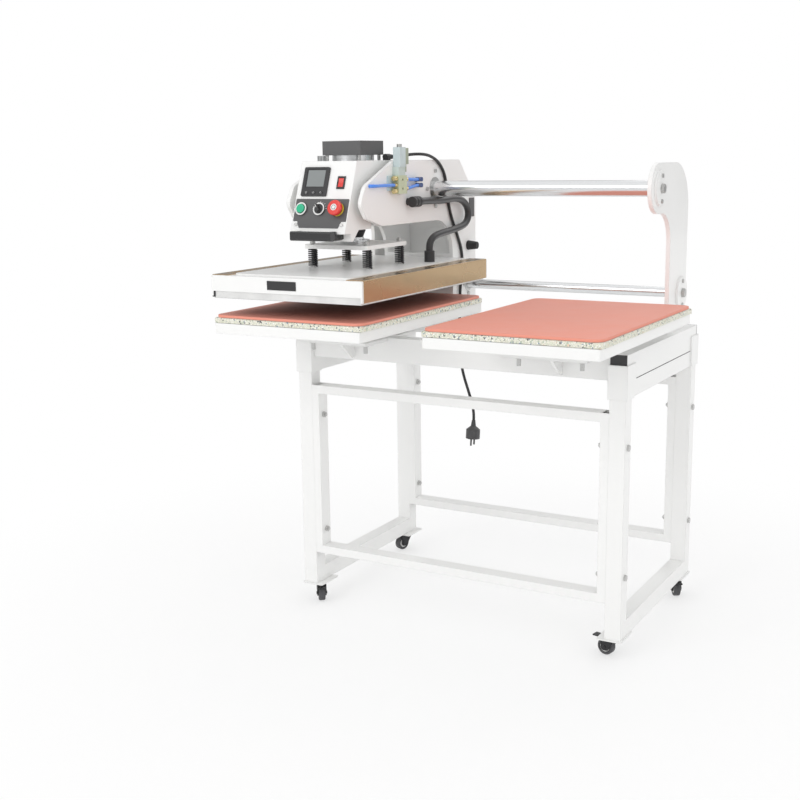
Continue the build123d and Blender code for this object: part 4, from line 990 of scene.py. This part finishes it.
# rings: outer and inner radius and thickness; blocks: low and high corner; turns in degrees
trim = {
    "ring": (0.0152, 0.0118, 0.0006),
    "stopCollar": (0.0165, 0.0147, 0.0035),
    "stopMark": (0.0055, 0.0043, 0.0003),
    "keyMark": (0.0022, 0.0017, 0.0002),
    "ringRound": 0.25,
    "longTick": ((-0.0005, 0.0162, 0.001), (0.0005, 0.0196, 0.0013)),
    "shortTick": ((-0.0005, 0.0162, 0.001), (0.0005, 0.0182, 0.0013)),
    "tickTurns": range(-84, 85, 21),
    "glass": ((-0.024, -0.020, 0.0018), (0.024, 0.020, 0.0030)),
    "glassRound": 0.0005,
    "pointer": ((-0.0007, 0.001, 0.0160), (0.0007, 0.0088, 0.0164)),
    "pointerRound": 0.00015,
    "pointerTurn": 35,
    "stopCentre": {"radius": 0.0078, "depth": 0.0006, "location": (0, 0, 0.0198), "vertices": 48},
    "stopCentreRound": 0.0002,
}


def ringPiece(name, outer, inner, thick, sides=64):
    # flat ring standing on zero, made from a disc by inset, delete and extrude
    deselect()
    bpy.ops.mesh.primitive_circle_add(vertices=sides, radius=outer, fill_type="NGON")
    ring = bpy.context.object
    ring.name = name
    startEditing(ring)
    bpy.ops.mesh.inset(thickness=outer - inner)
    bpy.ops.mesh.delete(type="FACE")
    bpy.ops.mesh.select_all(action="SELECT")
    bpy.ops.mesh.extrude_region_move(TRANSFORM_OT_translate={"value": (0, 0, thick)})
    bpy.ops.mesh.select_all(action="SELECT")
    bpy.ops.mesh.normals_make_consistent(inside=False)
    stopEditing()
    roundOff(ring, min(thick, outer - inner) * trim["ringRound"])
    smooth(ring)
    return ring


def onPanel(obj, body, key, slotName, u, v, out=0.0):
    moveMesh(obj, panelMatrix(u, v, out))
    settle(obj, body, key)


def makeSelectorScale():
    ticks = []
    for step, turn in enumerate(trim["tickTurns"]):
        tick = newBlock("tick", *trim["shortTick" if step % 2 else "longTick"])
        moveMesh(tick, Matrix.Rotation(-math.radians(turn), 4, "Z"))
        ticks.append(tick)
    onPanel(join("selectorScale", ticks), "carriage", "ringWhite", "white_paint",
            controls["selector"], controls["row"])


def makeKeyMarks():
    marks = []
    for step in (-1, 0, 1):
        mark = ringPiece("keyMark", *trim["keyMark"], 32)
        moveMesh(mark, panelMatrix(controls["screen"][0] + step * controls["keyStep"],
                                   controls["keyRow"], controls["keyTop"]))
        marks.append(mark)
    settle(join("keyMarks", marks), "carriage", "ringWhite")


def makePanelTrim():
    row = controls["row"]
    for name in ("start", "selector"):
        ring = ringPiece(name + "Ring", *trim["ring"])
        onPanel(ring, "carriage", "ringWhite", "white_paint", controls[name], row,
                controls["collarTop"])
    collar = ringPiece("stopCollar", *trim["stopCollar"])
    onPanel(collar, "carriage", "stopYellow", "white_paint", controls["stop"], row,
            controls["overlayTop"])
    makeSelectorScale()
    glass = newBlock("controllerGlass", *trim["glass"])
    roundOff(glass, trim["glassRound"])
    onPanel(glass, "carriage", "screenGlass", "panel_dark", *controls["screen"])
    pointer = newBlock("selectorPointer", *trim["pointer"])
    roundOff(pointer, trim["pointerRound"], 1)
    moveMesh(pointer, Matrix.Rotation(math.radians(trim["pointerTurn"]), 4, "Z"))
    onPanel(pointer, "selector_knob", "ringWhite", "black_plastic", controls["selector"], row)
    deselect()
    bpy.ops.mesh.primitive_cylinder_add(**trim["stopCentre"])
    cap = bpy.context.object
    cap.name = "stopCentre"
    bpy.ops.object.transform_apply(location=True, rotation=True, scale=True)
    roundOff(cap, trim["stopCentreRound"])
    onPanel(cap, "stop_button", "ringWhite", "switch_red", controls["stop"], row)
    mark = ringPiece("stopMark", *trim["stopMark"])
    onPanel(mark, "stop_button", "panelFilm", "switch_red", controls["stop"], row,
            controls["capTop"])
    makeKeyMarks()


makePanelTrim()
print("stage: console panel trimmed")

# deep arms of the pull handle
handle = {
    "arms": ((-0.056, -0.039), (0.039, 0.056)),     # left and right side, from the head's middle
    "front": -0.1795,
    "panel": -0.1665,
    "back": -0.1412,
    "foot": 0.1673,
    "low": 0.1814,
    "high": 0.1887,
    "round": (0.0022, 3),
}


def makeHandleArms():
    middle = press["head"]
    step = above(middle, handle["panel"], handle["low"])
    rise = handle["high"] - handle["low"]
    for index, (left, right) in enumerate(handle["arms"]):
        arm = newBlock("handleArm" + str(index + 1),
                       above(middle + left, handle["front"], handle["foot"]),
                       above(middle + right, handle["back"], handle["low"]))
        startEditing(arm)
        bpy.ops.mesh.bisect(plane_co=step, plane_no=(0, 1, 0))
        stopEditing()
        selectFaces(arm, lambda centre, normal: normal.z > facing and centre.y < step.y)
        bpy.ops.mesh.extrude_region_move(TRANSFORM_OT_translate={"value": (0, 0, rise)})
        stopEditing()
        roundOff(arm, *handle["round"])
        smooth(arm)
        settle(arm, "carriage", "gripBlack")


makeHandleArms()
print("stage: handle arms")

# blank plates
plates = {
    "brand": (-0.0463, 0.0319, 0.0645, 0.0848),     # left and right of the head, foot and top
    "rating": (0.412, 0.440, 0.195, 0.245),         # front and back of the arm, foot and top
    "corner": ((-0.2045, -0.3028, 0.0420), (-0.1965, -0.2950, 0.0560)),
    "headFront": -0.303,
    "brandThick": 0.0012,
    "brandRim": 0.0014,
    "brandSink": 0.0003,
    "ratingThick": 0.0025,
    "ratingRound": 0.0008,
    "cornerRound": (0.0015, 3),
}


def makeHeadCorner():
    # dark end of the insulation at the heating plate's corner
    middle = above(press["head"], 0, 0)
    corner = newBlock("headCorner", *(middle + Vector(spot) for spot in plates["corner"]))
    roundOff(corner, *plates["cornerRound"])
    settle(corner, "heating_head", "blackRubber")


def makeBlankPlates():
    left, right, foot, top = plates["brand"]
    brand = newBlock("headPlate", (left, -plates["brandThick"], foot), (right, 0.0, top))
    selectFaces(brand, lambda centre, normal: normal.y < -facing)
    bpy.ops.mesh.inset(thickness=plates["brandRim"])
    bpy.ops.transform.translate(value=(0, plates["brandSink"], 0))
    stopEditing()
    moveMesh(brand, Matrix.Translation(above(press["head"], plates["headFront"], 0)))
    settle(brand, "heating_head", "blackPlastic")
    front, back, foot, top = plates["rating"]
    rating = newBlock("ratingPlate", above(press["armRight"], front, foot),
                      above(press["armRight"] + plates["ratingThick"], back, top))
    roundOff(rating, plates["ratingRound"])
    settle(rating, "carriage", "panelFilm")


makeBlankPlates()
makeHeadCorner()
print("stage: blank plates")

# black strips of painted shade in the open seams between the base tubes and the side frames
seams = {
    "x": 0.432,
    "front": 0.030,
    "back": 0.463,
    "z": 0.652,
    "half": 0.0009,
    "out": 0.00025,
}


def makeSeamShadows():
    strips = []
    for side in (-1, 1):
        edges = sorted((side * (seams["x"] - seams["out"]), side * (seams["x"] + seams["out"])))
        low = place(edges[0], seams["front"], seams["z"] - seams["half"])
        high = place(edges[1], seams["back"], seams["z"] + seams["half"])
        strips.append(newBlock("seam", low, high))
    # the strips are black only as painted shade inside the seams
    settle(join("frameSeamShadows", strips), "stand", "shadowBlack")


makeSeamShadows()
print("stage: frame seams")

# rings on the caster hubs
casters = {
    "turns": (308, 168, 250, 300),
    "places": ((-0.406, 0.009), (0.406, 0.009), (-0.406, 0.473), (0.406, 0.473)),
    "trail": 0.020,
    "axle": 0.020,
    "ringOut": 0.0067,               # from the wheel's middle to a ring's foot
    "ring": (0.0125, 0.0062, 0.0012),
}


def makeHubRings():
    for corner, (x, y), degrees in zip(corners, casters["places"], casters["turns"]):
        turn = Matrix.Rotation(math.radians(degrees), 4, "Z")
        rings = []
        for side in (-1, 1):
            ring = ringPiece("hubRing", *casters["ring"])
            tilt = Matrix.Rotation(math.radians(90 * side), 4, "X")
            spot = Matrix.Translation((casters["trail"], -side * casters["ringOut"], 0))
            moveMesh(ring, spot @ tilt)
            rings.append(ring)
        pair = join("hubRings_" + corner, rings)
        moveMesh(pair, Matrix.Translation(place(x, y, casters["axle"])) @ turn)
        settle(pair, "wheel_" + corner, "hubGrey")


makeHubRings()
print("stage: caster hubs")

# studio
studio = {
    "floorColor": (0.95, 0.95, 0.95, 1),
    "floorRough": 0.9,
    "floorSize": 30,
    "floorLevel": -0.0005,
    "floorWhite": (0.55, 1.0),      # share of plain white in the floor, by the press and far off
    "fade": (0.55, 1.7),            # where that share starts and ends to grow
    "aim": (0, 0, 0.7),
    "key": (-1.4, -4.2, 3.0, 3.0, 54),      # the lamps' places, sizes and powers
    "fill": (3.8, -1.6, 2.4, 3.0, 20),
    "back": (0.5, 3.4, 3.0, 3.0, 20),
    "world": 0.82,
    "walls": (0.38, 1.0),           # how bright metal sees the walls, at their foot and on top
    "wallSpan": (0.30, 0.75),
    "white": (1, 1, 1, 1),
}


def softLight(name, x, y, z, size, power):
    data = bpy.data.lights.new(name, "AREA")
    data.size = size
    data.energy = power
    obj = bpy.data.objects.new(name, data)
    obj.location = (x, y, z)
    aim = Vector(studio["aim"]) - obj.location
    obj.rotation_euler = aim.to_track_quat("-Z", "Y").to_euler()
    bpy.context.scene.collection.objects.link(obj)


def newBackground(tree, strength=1.0):
    shade = addNode(tree, "ShaderNodeBackground")
    shade.inputs["Color"].default_value = studio["white"]
    plug(tree, shade.inputs["Strength"], strength)
    return shade.outputs[0]


def makeWorld():
    # the camera sees white, metal sees white above and grey walls, and the rest is plain light
    world = bpy.data.worlds.new("studioWorld")
    bpy.context.scene.world = world
    world.use_nodes = True
    tree = world.node_tree
    tree.nodes.remove(tree.nodes["Background"])
    rise = splitVector(tree, addNode(tree, "ShaderNodeTexCoord").outputs["Generated"])["Z"]
    brightness = mapRange(tree, rise, *studio["walls"], studio["wallSpan"], "SMOOTHSTEP")
    rays = addNode(tree, "ShaderNodeLightPath").outputs
    plain = mixShaders(tree, rays["Is Glossy Ray"], newBackground(tree, studio["world"]),
                       newBackground(tree, brightness))
    seen = mathNode(tree, "MAXIMUM", rays["Is Camera Ray"], rays["Is Transmission Ray"])
    surface = mixShaders(tree, seen, plain, newBackground(tree))
    tree.links.new(surface, tree.nodes["World Output"].inputs["Surface"])


def makeFloor():
    # paper that is seen as white, the more so the further off, and keeps the press's shadow
    deselect()
    bpy.ops.mesh.primitive_plane_add(size=studio["floorSize"],
                                     location=(0, 0, studio["floorLevel"]))
    floor = bpy.context.object
    floor.name = "studioFloor"
    material, tree, shader = startMaterial("floorPaper")
    shader.inputs["Base Color"].default_value = studio["floorColor"]
    shader.inputs["Roughness"].default_value = studio["floorRough"]
    reach = vectorNode(tree, "LENGTH", ownPlace(tree))["Value"]
    share = mapRange(tree, reach, *studio["floorWhite"], studio["fade"], "SMOOTHSTEP")
    rays = addNode(tree, "ShaderNodeLightPath").outputs
    seen = mathNode(tree, "MAXIMUM", rays["Is Camera Ray"], rays["Is Glossy Ray"])
    seen = mathNode(tree, "MAXIMUM", seen, rays["Is Transmission Ray"])
    glow = addNode(tree, "ShaderNodeEmission").outputs[0]
    surface = mixShaders(tree, mathNode(tree, "MULTIPLY", seen, share), shader.outputs[0], glow)
    tree.links.new(surface, tree.nodes["Material Output"].inputs["Surface"])
    floor.data.materials.append(material)


def makeStudio():
    for name in ("key", "fill", "back"):
        softLight(name + "Light", *studio[name])
    makeWorld()
    makeFloor()
    bpy.context.scene.view_settings.view_transform = "Standard"


makeStudio()
print("stage: studio lit")
